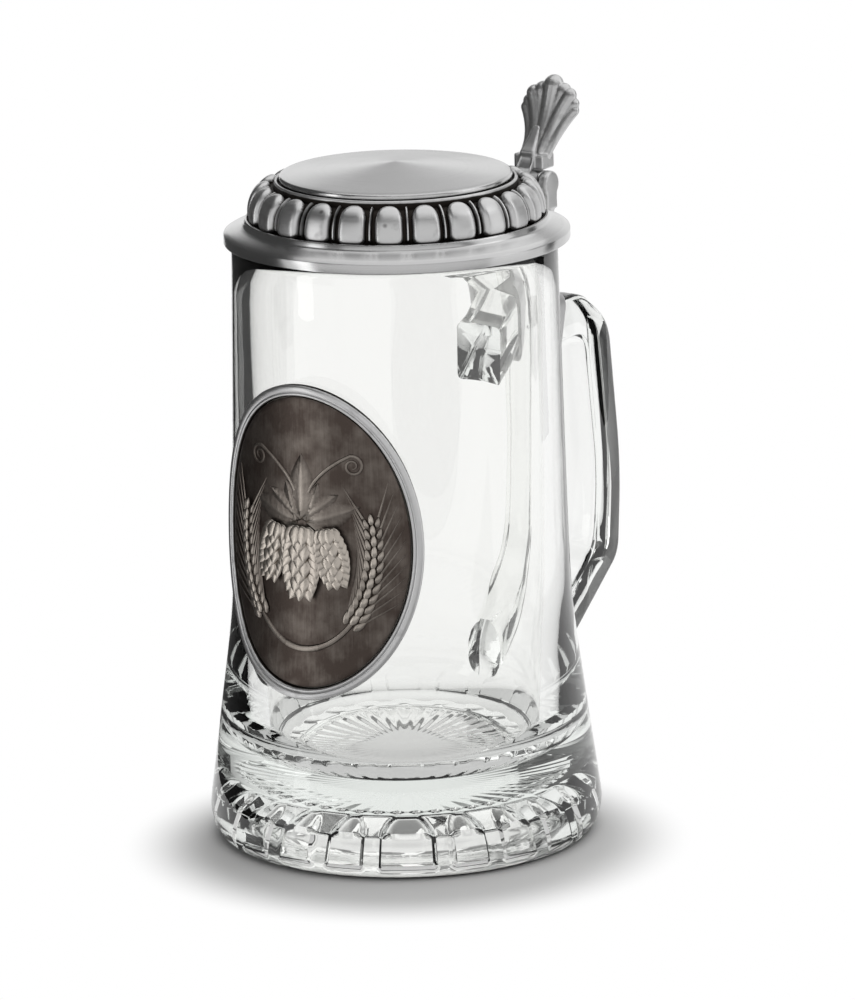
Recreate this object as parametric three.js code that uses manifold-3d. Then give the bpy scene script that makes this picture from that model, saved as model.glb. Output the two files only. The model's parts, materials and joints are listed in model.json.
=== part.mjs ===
// Lidded beer mug: a glass body with a hollow fluted foot, a glass handle joined to it hot, a cast
// pewter lid that swings on a two-part strap round the handle, and an oval pewter plaque bonded
// to the wall. Millimetres, +Z up, handle and hinge towards +Y, hinge pin along X.

import * as THREE from 'three';
import { mergeVertices } from 'three/addons/utils/BufferGeometryUtils.js';
import Module from 'manifold-3d';

const wasm = await Module();
wasm.setup();

// Clearances
const seatGap = 0.3; // between pieces that are fused, soldered, bonded or laid on each other
const hingeGap = 0.3; // beside the knuckle
const pinPlay = 0.25; // round the pin

// Glass body
const glassHeight = 153;
const rimRadius = 41;
const rimWall = 3.8;
const wallDraft = 0.0205; // growth of the radius for each millimetre below the rim
const baseRadius = 50.1;
const flareHeight = 59.5; // where the line of the wall and the line of the flare meet
const flareBlend = 7.8; // how softly they meet
const boreFloor = 20;
const boreFloorRadius = 36.2;
const boreCorner = 13;

// Hollow foot
const footRise = 8; // height of the rounded edge
const ringOuter = 46;
const ringInner = 43.6;
const ringHeight = 3;
const recessDepth = 12.5;
const recessRadius = 31.5;
const fluteCount = 20;
const fluteDepth = 1.5;

// Glass handle, reaches measured out from the rim radius and drops down from the rim
const handleWidth = 17;
const handleEdge = 2.5; // rounding of the long edges
const armDrop = 26.3;
const armSag = 4.3; // how much lower the arm's top is at the wall
const armLevel = 15; // from the rim radius to where that top levels out
const armReach = 31.8;
const armDepth = 10.9;
const padDepth = 20.8; // from the level top down to the underside where it meets the wall
const shoulderReach = 44.6;
const shoulderDrop = 36.1;
const gripReach = 49.6;
const gripDrop = 76;
const gripDepth = 12.5;
const heelReach = 47.8;
const heelDrop = 100;
const tailSlope = 0.8; // fall of the tail for each unit towards the wall
const tailReach = 33.5; // from the rim radius to the bend of the tail's upper side
const tailFall = 6; // from the heel down to that bend
const tailDepth = 8;
const tailPadFall = 12.5; // from the heel down to the top of the lower pad

// Lid
const flangeOverhang = 2.6;
const lidSetback = 1.2; // the lid sits this far towards the hinge
const flangeBand = 2.5;
const flangeConeRise = 3.7;
const gadroonRadius = 37.6;
const gadroonTopRadius = 30.9;
const gadroonRise = 9.4;
const lobeCount = 24;
const lobeTurn = 1.8; // turn of the lobes from the front, degrees
const lobeDepth = 1.7;
const lidWall = 2.2;
const discRadius = 29.3;
const discThickness = 1.7;
const discCone = 2.8;

// Hinge and strap
const pinReach = 17.8; // from the edge of the flange to the pin
const pinRise = 3.4; // from the underside of the flange to the pin
const pinRadius = 1.5;
const knuckleRadius = 3.5;
const knuckleWidth = 7.6;
const earThickness = 2.2;
const earBlind = 0.7; // metal left over the end of the pin
const neckDepth = 4.2;
const collarStart = 12.5; // from the rim radius to the near edge of the collar
const collarLength = 8;
const collarToe = 5; // length of the collar under the arm
const collarWall = 2;

// Thumb lift
const blockWidth = 8.8;
const blockDepth = 5.8;
const blockHeight = 3.1;
const blockSetback = 1.1; // from the pin back to the middle of the block
const thumbLean = 30; // degrees
const thumbLength = 21.5;
const thumbLobes = 5;
const thumbSpread = 12.5; // turn of the outer lobes, degrees
const thumbShorten = 4; // how much shorter the outer lobes are
const thumbNeckRadius = 1.45;
const thumbNeckStep = 0.95;
const thumbTipRadius = 2.1;

// Plaque
const plaqueHeight = 84.7; // of its middle
const plaqueTurn = 1.5; // from the front, degrees
const plaqueHalfWidth = 30.4; // round the wall
const plaqueHalfHeight = 39.9;
const bezelWidth = 2.9;
const bezelThickness = 1.7;
const plateThickness = 1;
const bondThickness = 0.4;
const bondInset = 1.5;

// Facets
const bodyFacets = fluteCount * 4;
const lidFacets = lobeCount * 4;
const ovalFacets = 56;

// Places worked out from the sizes
const flangeRadius = rimRadius + flangeOverhang;
const lidSeat = glassHeight + seatGap;
const pinY = lidSetback + flangeRadius + pinReach;
const pinZ = lidSeat + pinRise;
const earInner = knuckleWidth / 2 + hingeGap;
const earOuter = earInner + earThickness;
const armTop = glassHeight - armDrop;

const glassLook = { color: 0xe9efec, roughness: 0.04, metalness: 0, transparent: true, opacity: 0.35 };
const pewterLook = { color: 0xb4b2ad, roughness: 0.34, metalness: 1 };
const darkPewterLook = { color: 0x5f5852, roughness: 0.45, metalness: 1 };
const steelLook = { color: 0xc3c4c6, roughness: 0.3, metalness: 1 };
const bondLook = { color: 0xcfcdc4, roughness: 0.6, metalness: 0 };

const degrees = THREE.MathUtils.degToRad;
const at = (x, y) => new THREE.Vector2(x, y);

// Outer radius of the glass at a height: two straight lines joined by a soft bend
function wallRadius(z) {
  const line = (h) => rimRadius + wallDraft * (glassHeight - h);
  const bend = (h) => (flareHeight - h + Math.hypot(flareHeight - h, flareBlend)) / 2;
  const slope = (baseRadius - line(footRise)) / bend(footRise);
  return line(z) + slope * bend(z);
}

// Points along part of an ellipse, both ends included
function arc(centre, radiusX, radiusY, from, to, steps) {
  const points = [];
  for (let i = 0; i <= steps; i += 1) {
    const turn = degrees(from + ((to - from) * i) / steps);
    points.push(at(centre.x + radiusX * Math.cos(turn), centre.y + radiusY * Math.sin(turn)));
  }
  return points;
}

// A shape whose corners, given as [x, y, rounding], are eased by curves no longer than their sides
function roundedShape(corners) {
  const shape = new THREE.Shape();
  corners.forEach(([x, y, rounding], i) => {
    const here = at(x, y);
    const before = at(...corners[(i + corners.length - 1) % corners.length]).sub(here);
    const after = at(...corners[(i + 1) % corners.length]).sub(here);
    const ease = Math.min(rounding, 0.45 * before.length(), 0.45 * after.length());
    const start = here.clone().add(before.setLength(ease));
    const end = here.clone().add(after.setLength(ease));
    if (i === 0) shape.moveTo(start.x, start.y);
    else shape.lineTo(start.x, start.y);
    if (ease > 0) shape.quadraticCurveTo(x, y, end.x, end.y);
  });
  shape.closePath();
  return shape;
}

// Welds a geometry into one closed skin that faces outwards
function weld(geometry) {
  geometry.deleteAttribute('normal');
  geometry.deleteAttribute('uv');
  const merged = mergeVertices(geometry, 1e-4);
  const position = merged.getAttribute('position');
  const corner = (i) => new THREE.Vector3().fromBufferAttribute(position, i);
  const faces = [];
  let volume = 0;
  for (let i = 0; i < merged.index.count; i += 3) {
    const [a, b, c] = [0, 1, 2].map((k) => merged.index.getX(i + k));
    if (a === b || b === c || c === a) continue;
    faces.push([a, b, c]);
    volume += corner(a).dot(corner(b).cross(corner(c)));
  }
  merged.setIndex(faces.flatMap(([a, b, c]) => (volume > 0 ? [a, b, c] : [a, c, b])));
  merged.computeVertexNormals();
  return merged;
}

// Closed geometry to a solid that can be joined and cut, and back
function solid(geometry) {
  const skin = weld(geometry);
  return new wasm.Manifold(
    new wasm.Mesh({
      numProp: 3,
      vertProperties: Float32Array.from(skin.getAttribute('position').array),
      triVerts: Uint32Array.from(skin.index.array),
    }),
  );
}

function skinOf(body) {
  const mesh = body.getMesh();
  const geometry = new THREE.BufferGeometry();
  geometry.setAttribute('position', new THREE.BufferAttribute(mesh.vertProperties, 3));
  geometry.setIndex(new THREE.BufferAttribute(mesh.triVerts, 1));
  geometry.computeVertexNormals();
  return geometry;
}

// A profile of radius and height turned round Z, with angle 0 at the front and growing towards +X
function turned(profile, facets, reshape) {
  const geometry = new THREE.LatheGeometry(profile, facets);
  const position = geometry.getAttribute('position');
  for (let i = 0; i < position.count; i += 1) {
    const index = i % profile.length;
    const turn = (Math.floor(i / profile.length) % facets) * ((2 * Math.PI) / facets);
    const radius = profile[index].x + (reshape ? reshape(index, turn) : 0);
    position.setXYZ(i, radius * Math.sin(turn), -radius * Math.cos(turn), profile[index].y);
  }
  return geometry;
}

// A side outline, x along Y and y along Z, given a width along X with rounded long edges
function sideSlab(shape, width, edge, grow = 0) {
  const geometry = new THREE.ExtrudeGeometry(shape, {
    depth: width - 2 * edge,
    curveSegments: 4,
    bevelEnabled: edge > 0,
    bevelThickness: edge,
    bevelSize: edge,
    bevelOffset: grow - edge,
    bevelSegments: 2,
  });
  geometry.translate(0, 0, edge - width / 2);
  const along = new THREE.Vector3(0, 1, 0);
  const up = new THREE.Vector3(0, 0, 1);
  const across = new THREE.Vector3(1, 0, 0);
  return geometry.applyMatrix4(new THREE.Matrix4().makeBasis(along, up, across));
}

// A round bar along X at the hinge
function hingeBar(radius, length, facets = 24) {
  return new THREE.CylinderGeometry(radius, radius, length, facets)
    .rotateZ(Math.PI / 2)
    .translate(0, pinY, pinZ);
}

function piece(name, geometry, look) {
  const mesh = new THREE.Mesh(weld(geometry), new THREE.MeshStandardMaterial(look));
  mesh.name = name;
  return mesh;
}

// Glass body
function glassBody() {
  const side = 4;
  const recess = [at(0, recessDepth)];
  for (let i = 0; i <= side; i += 1) {
    const share = i / side;
    const radius = recessRadius + (ringInner - recessRadius) * share;
    recess.push(at(radius, recessDepth + (ringHeight - recessDepth) * Math.pow(share, 2)));
  }
  const foot = [at(ringInner, 0)];
  foot.push(...arc(at(ringOuter, footRise), baseRadius - ringOuter, footRise, -90, 0, 4));
  const rimRound = rimWall / 2;
  const wall = [];
  const steps = 8;
  for (let i = 1; i <= steps; i += 1) {
    const z = footRise + (glassHeight - rimRound - footRise) * Math.pow(i / steps, 1.35);
    wall.push(at(wallRadius(z), z));
  }
  const rim = arc(at(rimRadius - rimRound, glassHeight - rimRound), rimRound, rimRound, 0, 180, 4).slice(1);
  const corner = at(boreFloorRadius - boreCorner, boreFloor + boreCorner);
  const bore = arc(corner, boreCorner, boreCorner, 0, -90, 4);
  const profile = [...recess, ...foot, ...wall, ...rim, ...bore, at(0, boreFloor)];
  const flute = (index, turn) => {
    if (index < 1 || index > side) return 0;
    const swell = Math.sin((Math.PI * (index - 0.4)) / (side + 0.2));
    return fluteDepth * swell * Math.cos(fluteCount * turn);
  };
  return turned(profile, bodyFacets, flute);
}

// Space taken up by the wall, used to end pieces against it
function wallSpace(clearance) {
  const steps = 16;
  const profile = [at(0, 0)];
  for (let i = 0; i <= steps; i += 1) {
    const z = (glassHeight * i) / steps;
    profile.push(at(wallRadius(z) + clearance, z));
  }
  profile.push(at(0, glassHeight));
  return solid(turned(profile, bodyFacets));
}

// Side outline of the handle, started inside the wall so that the wall can cut it
const armTopAt = (y) => armTop - (armSag * Math.max(0, rimRadius + armLevel - y)) / armLevel;

function handleShape() {
  const root = rimRadius - rimWall;
  const y = (reach) => rimRadius + reach;
  const z = (drop) => glassHeight - drop;
  const bendZ = armTop - armDepth;
  const tailY = y(tailReach) - gripDepth;
  const tailEnd = z(heelDrop) - tailSlope * (y(heelReach) - root);
  return roundedShape([
    [root, armTopAt(root), 0],
    [y(armLevel), armTop, 10],
    [y(armReach), armTop, 4],
    [y(shoulderReach), z(shoulderDrop), 5],
    [y(gripReach), z(gripDrop), 18],
    [y(heelReach), z(heelDrop), 2.5],
    [root, tailEnd, 0],
    [root, z(heelDrop + tailPadFall), 0],
    [tailY, z(heelDrop + tailFall), 7],
    [y(heelReach) - gripDepth, z(heelDrop) + tailDepth / 2, 4.5],
    [y(gripReach) - gripDepth, z(gripDrop), 16],
    [y(shoulderReach) - gripDepth, bendZ, 4.5],
    [y(armReach) - gripDepth, bendZ - 1.6, 5],
    [root, armTop - padDepth, 0],
  ]);
}

function handleSolid(grow) {
  return solid(sideSlab(handleShape(), handleWidth + 2 * grow, handleEdge + grow, grow));
}

// Lid casting: flange, lobed band and a seat for the disc, hollow underneath
const bandTop = lidSeat + flangeBand;
const coneTop = bandTop + flangeConeRise;
const gadroonTop = coneTop + gadroonRise;
const deckZ = gadroonTop - 0.6;
const deckAt = (radius) => deckZ + discCone * (1 - radius / discRadius);

function lidCasting() {
  const foot = at(gadroonTopRadius, coneTop + 1.6);
  const bulge = arc(foot, gadroonRadius - gadroonTopRadius + 0.5, gadroonTop - foot.y, -14, 90, 7);
  const inside = [
    at(0, deckAt(0) - lidWall),
    at(gadroonTopRadius - lidWall - 1.2, deckAt(gadroonTopRadius) - lidWall),
    at(gadroonTopRadius + 0.6, coneTop + gadroonRise * 0.62),
    at(gadroonRadius - lidWall - 1.2, coneTop + gadroonRise * 0.25),
    at(gadroonRadius - lidWall - 0.6, bandTop - 0.4),
    at(rimRadius - rimWall - 1, lidSeat),
  ];
  const flange = [
    at(flangeRadius - 0.3, lidSeat),
    at(flangeRadius, lidSeat + 0.3),
    at(flangeRadius, bandTop - 0.3),
    at(flangeRadius - 0.4, bandTop),
    at(gadroonRadius + 0.2, coneTop),
    at(gadroonRadius - 0.3, coneTop),
  ];
  const bead = [
    at(gadroonTopRadius - 0.5, gadroonTop + 0.5),
    at(discRadius + seatGap, gadroonTop + 0.2),
    at(discRadius + seatGap, deckZ),
  ];
  const profile = [...inside, ...flange, ...bulge, ...bead, at(0, deckAt(0))];
  const first = inside.length + flange.length;
  const lobes = (index, turn) => {
    const share = (index - first) / (bulge.length - 1);
    if (share < 0 || share >= 1) return 0;
    const phase = ((turn - degrees(lobeTurn)) * lobeCount) / (2 * Math.PI);
    const fromMiddle = Math.abs(phase - Math.round(phase)) * 2;
    return -lobeDepth * Math.pow(fromMiddle, 2.4) * Math.sqrt(Math.sin(Math.PI * Math.min(1, share + 0.12)));
  };
  return turned(profile, lidFacets, lobes).translate(0, lidSetback, 0);
}

function lidDisc() {
  const under = (radius) => deckAt(radius) + seatGap;
  const profile = [
    at(0, under(0)),
    at(discRadius - 0.4, under(discRadius - 0.4)),
    at(discRadius, under(discRadius) + 0.4),
    at(discRadius, under(discRadius) + discThickness - 0.3),
    at(discRadius - 0.5, under(discRadius) + discThickness),
    at(0, under(0) + discThickness),
  ];
  return turned(profile, lidFacets * 0.75).translate(0, lidSetback, 0);
}

// Bar from the lid to the knuckle, soldered over the back of the flange
function hingeArm() {
  const edgeY = lidSetback + flangeRadius;
  const slope = flangeConeRise / (flangeRadius - gadroonRadius);
  const endY = lidSetback + gadroonRadius + 0.8;
  const overCone = (y) => bandTop + slope * (edgeY - y) + seatGap;
  const top = pinZ + knuckleRadius;
  const bar = sideSlab(
    roundedShape([
      [pinY, pinZ - knuckleRadius * 0.75, 0],
      [pinY, top, 0],
      [endY, top + 1, 1.2],
      [endY, overCone(endY), 0],
      [edgeY + seatGap, overCone(edgeY), 0],
      [edgeY + seatGap, lidSeat + seatGap, 0],
    ]),
    knuckleWidth,
    0.6,
  );
  const knuckle = hingeBar(knuckleRadius, knuckleWidth);
  const bore = hingeBar(pinRadius + pinPlay, knuckleWidth * 2);
  return skinOf(solid(bar).add(solid(knuckle)).subtract(solid(bore)));
}

// Five-lobed palmette on a square foot, leaning back over the handle
function thumbLift() {
  const footZ = pinZ + knuckleRadius + seatGap;
  const middleY = pinY + blockSetback;
  const block = new THREE.BoxGeometry(blockWidth, blockDepth, blockHeight);
  block.translate(0, middleY, footZ + blockHeight / 2);
  let lift = solid(block);
  for (let i = 0; i < thumbLobes; i += 1) {
    const side = (2 * i) / (thumbLobes - 1) - 1;
    const length = thumbLength - thumbShorten * side * side;
    const rib = new THREE.CylinderGeometry(thumbTipRadius, thumbNeckRadius, length, 12);
    rib.translate(0, length / 2, 0);
    const tip = new THREE.SphereGeometry(thumbTipRadius, 12, 8).translate(0, length, 0);
    for (const form of [rib, tip]) {
      form.rotateZ(degrees(-thumbSpread * side));
      form.translate(thumbNeckStep * side * 2, -blockHeight / 2, 0);
      form.rotateX(Math.PI / 2 - degrees(thumbLean));
      form.translate(0, middleY, footZ + blockHeight);
      lift = lift.add(solid(form));
    }
  }
  return skinOf(lift);
}

// Strap: a collar round the upper arm that rises as a post to two ears, cut in two at X = 0
function strapSolid() {
  const nearY = rimRadius + collarStart;
  const farY = nearY + collarLength;
  const toeY = (nearY + farY) / 2;
  const top = (y) => armTopAt(y) + seatGap + collarWall;
  const toeZ = armTop - armDepth - 2 * (collarWall + seatGap);
  const leaf = sideSlab(
    roundedShape([
      [nearY, top(nearY) + collarWall, 0],
      [farY, top(farY) + collarWall, 0],
      [farY, armTop - armDepth / 3, 6],
      [toeY + collarToe / 2, toeZ, 0],
      [toeY - collarToe / 2, toeZ, 0],
      [nearY, armTop - armDepth / 3, 6],
    ]),
    2 * handleWidth,
    0,
  );
  const collar = handleSolid(seatGap + collarWall).intersect(solid(leaf));
  const neckZ = pinZ - knuckleRadius - 1;
  const post = sideSlab(
    roundedShape([
      [nearY, top(nearY) - 1, 0],
      [farY - neckDepth, top(farY) + 3, 3],
      [pinY - neckDepth / 2, neckZ, 3],
      [pinY - neckDepth / 2, pinZ, 0],
      [pinY + neckDepth / 2, pinZ, 0],
      [pinY + neckDepth / 2, neckZ, 1],
      [pinY + neckDepth / 2 + 0.8, neckZ - 4, 2],
      [farY, top(farY) - 1, 0],
    ]),
    2 * earOuter,
    0.6,
  );
  const ears = hingeBar(knuckleRadius, 2 * earOuter);
  const slot = sideSlab(
    roundedShape([
      [pinY - 4 * knuckleRadius, neckZ, 0],
      [pinY + 4 * knuckleRadius, neckZ, 0],
      [pinY + 4 * knuckleRadius, pinZ + 2 * knuckleRadius, 0],
      [pinY - 4 * knuckleRadius, pinZ + 2 * knuckleRadius, 0],
    ]),
    2 * earInner,
    0,
  );
  const bore = hingeBar(pinRadius + pinPlay, 2 * (earOuter - earBlind));
  const joined = collar.add(solid(post)).add(solid(ears));
  return joined.subtract(handleSolid(seatGap)).subtract(solid(slot)).subtract(solid(bore));
}

function strapHalf(whole, side) {
  const reach = 2 * handleWidth;
  const keep = new THREE.BoxGeometry(reach, 4 * pinY, 4 * glassHeight);
  keep.translate(side * (reach / 2 + seatGap / 2), 0, 0);
  return skinOf(whole.intersect(solid(keep)));
}

// Lays a flat oval form on the wall: x runs round it, y up it and z out of it
function laidOnWall(geometry, lift) {
  const position = geometry.getAttribute('position');
  const around = wallRadius(plaqueHeight);
  for (let i = 0; i < position.count; i += 1) {
    const z = plaqueHeight + position.getY(i);
    const turn = degrees(plaqueTurn) + position.getX(i) / around;
    const radius = wallRadius(z) + lift + position.getZ(i);
    position.setXYZ(i, radius * Math.sin(turn), -radius * Math.cos(turn), z);
  }
  return geometry;
}

// An oval ring or sheet on the wall. Each point of its section is [share of the radius, inset, height].
function oval(section, lift) {
  const geometry = new THREE.LatheGeometry(section.map(([reach, , z]) => at(reach, z)), ovalFacets);
  const position = geometry.getAttribute('position');
  for (let i = 0; i < position.count; i += 1) {
    const [reach, inset, z] = section[i % section.length];
    const turn = (Math.floor(i / section.length) % ovalFacets) * ((2 * Math.PI) / ovalFacets);
    const x = reach * (plaqueHalfWidth - inset) * Math.sin(turn);
    const y = -reach * (plaqueHalfHeight - inset) * Math.cos(turn);
    position.setXYZ(i, x, y, z);
  }
  return laidOnWall(geometry, lift);
}

const plaqueBack = 2 * seatGap + bondThickness;

// Bezel with two rounded beads
function plaqueBezel() {
  const section = [
    [1, 0, 0],
    [1, 0, bezelThickness * 0.6],
    [1, bezelWidth * 0.25, bezelThickness],
    [1, bezelWidth * 0.5, bezelThickness * 0.8],
    [1, bezelWidth * 0.75, bezelThickness],
    [1, bezelWidth, bezelThickness * 0.6],
    [1, bezelWidth, 0],
    [1, 0, 0],
  ];
  return oval(section, plaqueBack);
}

// A plain oval sheet with rings enough to follow the wall
function ovalSheet(inset, thickness, lift) {
  const rings = 4;
  const section = [];
  for (let i = 0; i <= rings; i += 1) section.push([i / rings, inset, 0]);
  for (let i = rings; i >= 0; i -= 1) section.push([i / rings, inset, thickness]);
  return oval(section, lift);
}

// Assembly
const mug = new THREE.Group();
const strap = strapSolid();
const handle = skinOf(handleSolid(0).subtract(wallSpace(seatGap)));
mug.add(
  piece('glass_body', glassBody(), glassLook),
  piece('glass_handle', handle, glassLook),
  piece('strap_left', strapHalf(strap, -1), pewterLook),
  piece('strap_right', strapHalf(strap, 1), pewterLook),
  piece('hinge_pin', hingeBar(pinRadius, 2 * (earOuter - earBlind) - 2 * pinPlay), steelLook),
  piece('lid', lidCasting(), pewterLook),
  piece('lid_disc', lidDisc(), pewterLook),
  piece('hinge_arm', hingeArm(), pewterLook),
  piece('thumb_lift', thumbLift(), pewterLook),
  piece('plaque_bezel', plaqueBezel(), pewterLook),
  piece('plaque_plate', ovalSheet(bezelWidth + seatGap, plateThickness, plaqueBack), darkPewterLook),
  piece('plaque_bond', ovalSheet(bondInset, bondThickness, seatGap), bondLook),
);

// The origin is on the floor under the middle of the whole part
const extent = new THREE.Box3().setFromObject(mug);
mug.position.y = -(extent.min.y + extent.max.y) / 2;
const group = new THREE.Group();
group.add(mug);

export default group;
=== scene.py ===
"""Lidded beer mug of pressed glass with pewter fittings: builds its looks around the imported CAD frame."""

import json
import math

import bmesh
import bpy
from mathutils import Matrix, Vector


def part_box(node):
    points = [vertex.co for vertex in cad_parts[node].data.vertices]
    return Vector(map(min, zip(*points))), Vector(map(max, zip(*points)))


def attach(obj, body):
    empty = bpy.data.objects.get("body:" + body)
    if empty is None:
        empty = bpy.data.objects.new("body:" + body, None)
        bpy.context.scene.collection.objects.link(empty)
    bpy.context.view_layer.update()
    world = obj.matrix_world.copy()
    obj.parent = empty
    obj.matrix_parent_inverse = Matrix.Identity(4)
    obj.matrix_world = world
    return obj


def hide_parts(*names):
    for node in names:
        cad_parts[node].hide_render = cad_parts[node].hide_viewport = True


bl_info = {
    "name": "Lidded beer mug",
    "version": (1, 0, 0),
    "blender": (4, 5, 0),
    "location": "3D View > Sidebar > Mug",
    "description": "Builds a glass beer mug with a hinged pewter lid and an oval pewter plaque",
    "category": "Add Mesh",
}

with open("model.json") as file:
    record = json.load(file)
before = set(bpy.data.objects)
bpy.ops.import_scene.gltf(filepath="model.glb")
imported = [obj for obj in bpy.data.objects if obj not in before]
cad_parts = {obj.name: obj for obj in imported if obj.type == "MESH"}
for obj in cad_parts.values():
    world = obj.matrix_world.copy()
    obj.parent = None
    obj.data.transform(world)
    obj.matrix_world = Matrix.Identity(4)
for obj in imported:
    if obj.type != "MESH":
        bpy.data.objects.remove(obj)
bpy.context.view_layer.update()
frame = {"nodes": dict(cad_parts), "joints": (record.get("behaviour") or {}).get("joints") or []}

MM = 0.001
GLASS_LOW, GLASS_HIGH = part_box("glass_body")
LID_LOW, LID_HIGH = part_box("lid")

# The upright line through the middle of the glass, and the one through the lid
MUG_Y = (GLASS_LOW.y + GLASS_HIGH.y) / 2
LID_Y = (LID_LOW.y + LID_HIGH.y) / 2

# A point on the axis of the hinge pin
PIN = Vector(frame["joints"][0]["pos_m"])

# Points nearer than these, in metres, lie on the same surface, or become one
TOUCH = 1e-6
WELD = 1e-7


def linear(colour):
    """Turns an sRGB hex colour into linear red, green, blue and alpha."""
    channels = [int(colour[i:i + 2], 16) / 255 for i in (1, 3, 5)]
    return [c / 12.92 if c <= 0.04045 else ((c + 0.055) / 1.055) ** 2.4 for c in channels] + [1.0]


def length(name, description, millimetres):
    """A length property, given in millimetres and kept in metres."""
    return bpy.props.FloatProperty(
        name=name, description=description, default=millimetres * MM, min=0, precision=5, unit="LENGTH")


def turn(name, description, degrees):
    """An angle property, given in degrees."""
    return bpy.props.FloatProperty(
        name=name, description=description, default=math.radians(degrees), unit="ROTATION")


def count(name, description, default):
    """A whole number property."""
    return bpy.props.IntProperty(name=name, description=description, default=default, min=1)


def share(name, description, default):
    """A factor property."""
    return bpy.props.FloatProperty(name=name, description=description, default=default, subtype="FACTOR")


def colour(name, description, default):
    """A colour property, given as sRGB hex."""
    return bpy.props.FloatVectorProperty(
        name=name, description=description, default=linear(default), size=4, min=0, max=1, subtype="COLOR")


class GlassSettings(bpy.types.PropertyGroup):
    """Sizes of the glass body and its handle."""
    rim_radius: length("Rim radius", "Outside of the glass at the rim", 41)
    rim_wall: length("Rim wall", "Thickness of the wall at the rim", 3.8)
    draft: share("Draft", "Growth of the radius for each unit below the rim", 0.0205)
    flare_height: length("Flare height", "Where the line of the wall meets that of the flare", 59.5)
    flare_blend: length("Flare blend", "How softly they meet", 7.8)
    bore_floor: length("Floor", "Height of the floor inside", 20)
    bore_radius: length("Bore radius", "Radius of the bore at the floor", 36.2)
    bore_corner: length("Bore corner", "Rounding between the bore and its floor", 13)
    foot_rise: length("Foot rise", "Height of the rounded edge of the foot", 8)
    ring_outer: length("Ring outside", "Outer radius of the ring that it stands on", 46)
    ring_inner: length("Ring inside", "Inner radius of that ring", 43.6)
    ring_height: length("Ring height", "Height of the plain band inside the ring", 3)
    crease_radius: length("Crease radius", "Radius where the hollow's side changes slope", 39.6)
    crease_height: length("Crease height", "Height of that crease", 8.8)
    recess_depth: length("Hollow depth", "Depth of the hollow under the foot", 12.5)
    recess_radius: length("Hollow radius", "Radius of the hollow's roof", 31.5)
    flutes: count("Flutes", "Flutes pressed round the side of the hollow", 21)
    flute_depth: length("Flute depth", "Depth of a flute", 1.3)
    flute_seam: turn("Wide flute", "Extra width of the flute at the mould seam", 5.8)
    seam_turn: turn("Seam", "Where the mould seam is, from the front", 35)
    star_rays: count("Star rays", "Rays cut in the roof of the hollow", 42)
    star_radius: length("Star radius", "Length of the rays", 27)
    star_depth: length("Star depth", "Depth of the rays at their ends", 0.55)
    handle_width: length("Handle width", "Width of the handle across the grip", 17)
    handle_edge: length("Handle edge", "Rounding of the handle's long edges", 1.4)
    pad_narrowing: share("Pad narrowing", "How much narrower the handle is where it joins the wall", 0.09)
    tint: colour("Tint", "Colour that thick glass shows", "#e2e8e4")
    clear: colour("Clear", "Colour that the surface gives to light passing through it", "#fcfcfb")


class LidSettings(bpy.types.PropertyGroup):
    """Sizes of the lid casting and the disc in its top."""
    flange_radius: length("Flange radius", "Outside of the flange", 43.6)
    flange_band: length("Band", "Height of the flange's edge", 2.5)
    cone_rise: length("Cone", "Rise of the flange's sloping top", 3.7)
    lobe_radius: length("Lobe radius", "Outside of the lobes", 37.5)
    lobe_top: length("Lobe top radius", "Radius at the top of the lobes", 30.9)
    lobe_rise: length("Lobe rise", "Height of the lobed band", 9.4)
    lobes: count("Lobes", "Lobes round the lid", 24)
    lobe_turn: turn("Lobe turn", "Turn of the lobes from the front", 1.8)
    lobe_width: share("Lobe width", "Share of the pitch that a lobe takes", 0.74)
    lobe_depth: length("Lobe depth", "Depth of the grooves beside a lobe", 1.9)
    bead_width: share("Bead width", "Share of the pitch that the bead in a groove takes", 0.045)
    wall: length("Wall", "Thickness of the casting", 2.2)
    disc_radius: length("Disc radius", "Radius of the disc", 29.3)
    disc_thickness: length("Disc thickness", "Thickness of the disc at its edge", 1.7)
    disc_cone: length("Disc cone", "Rise of the disc to its middle", 2.8)


class HingeSettings(bpy.types.PropertyGroup):
    """Sizes of the hinge, the strap and the thumb lift."""
    knuckle_radius: length("Knuckle radius", "Radius of the knuckle and the ears", 3.5)
    knuckle_width: length("Knuckle width", "Width of the knuckle", 7.6)
    pin_hole: length("Pin hole", "Radius of the hole round the pin", 1.75)
    ear_gap: length("Ear gap", "Clearance beside the knuckle", 0.3)
    ear_thickness: length("Ear thickness", "Thickness of an ear", 2.2)
    ear_blind: length("Ear end", "Metal left over the end of the pin", 0.7)
    collar_wall: length("Collar wall", "Thickness of the collar round the handle", 2)
    collar_length: length("Collar length", "Length of the collar along the arm", 8)
    seam_gap: length("Seam", "Gap between the two halves of the strap", 0.3)
    block_width: length("Block width", "Width of the block under the thumb lift", 8.8)
    block_depth: length("Block depth", "Depth of that block", 5.8)
    block_height: length("Block height", "Height of that block", 3.8)
    fan_lean: turn("Fan lean", "How far the thumb lift leans back", 34)
    fan_length: length("Fan length", "Length of the thumb lift above its block", 21.9)
    fan_ribs: count("Fan ribs", "Ribs of the thumb lift", 5)
    grain: length("Casting grain", "Size of the cells that blend a casting's forms", 0.26)


class PlaqueSettings(bpy.types.PropertyGroup):
    """Sizes of the oval plaque."""
    height: length("Height", "Height of the plaque's middle", 84.7)
    turn: turn("Turn", "Turn of the plaque from the front", 1.5)
    half_width: length("Half width", "Half the plaque's width round the wall", 30.4)
    half_height: length("Half height", "Half the plaque's height", 39.9)
    lift: length("Lift", "From the wall to the back of the plaque", 1)
    bezel_width: length("Bezel width", "Width of the rim", 2.9)
    bezel_height: length("Bezel height", "How far the rim stands out", 1.7)
    plate: length("Plate", "Thickness of the plate", 0.9)
    relief: share("Relief", "How much of its full depth the relief keeps", 0.72)


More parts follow.
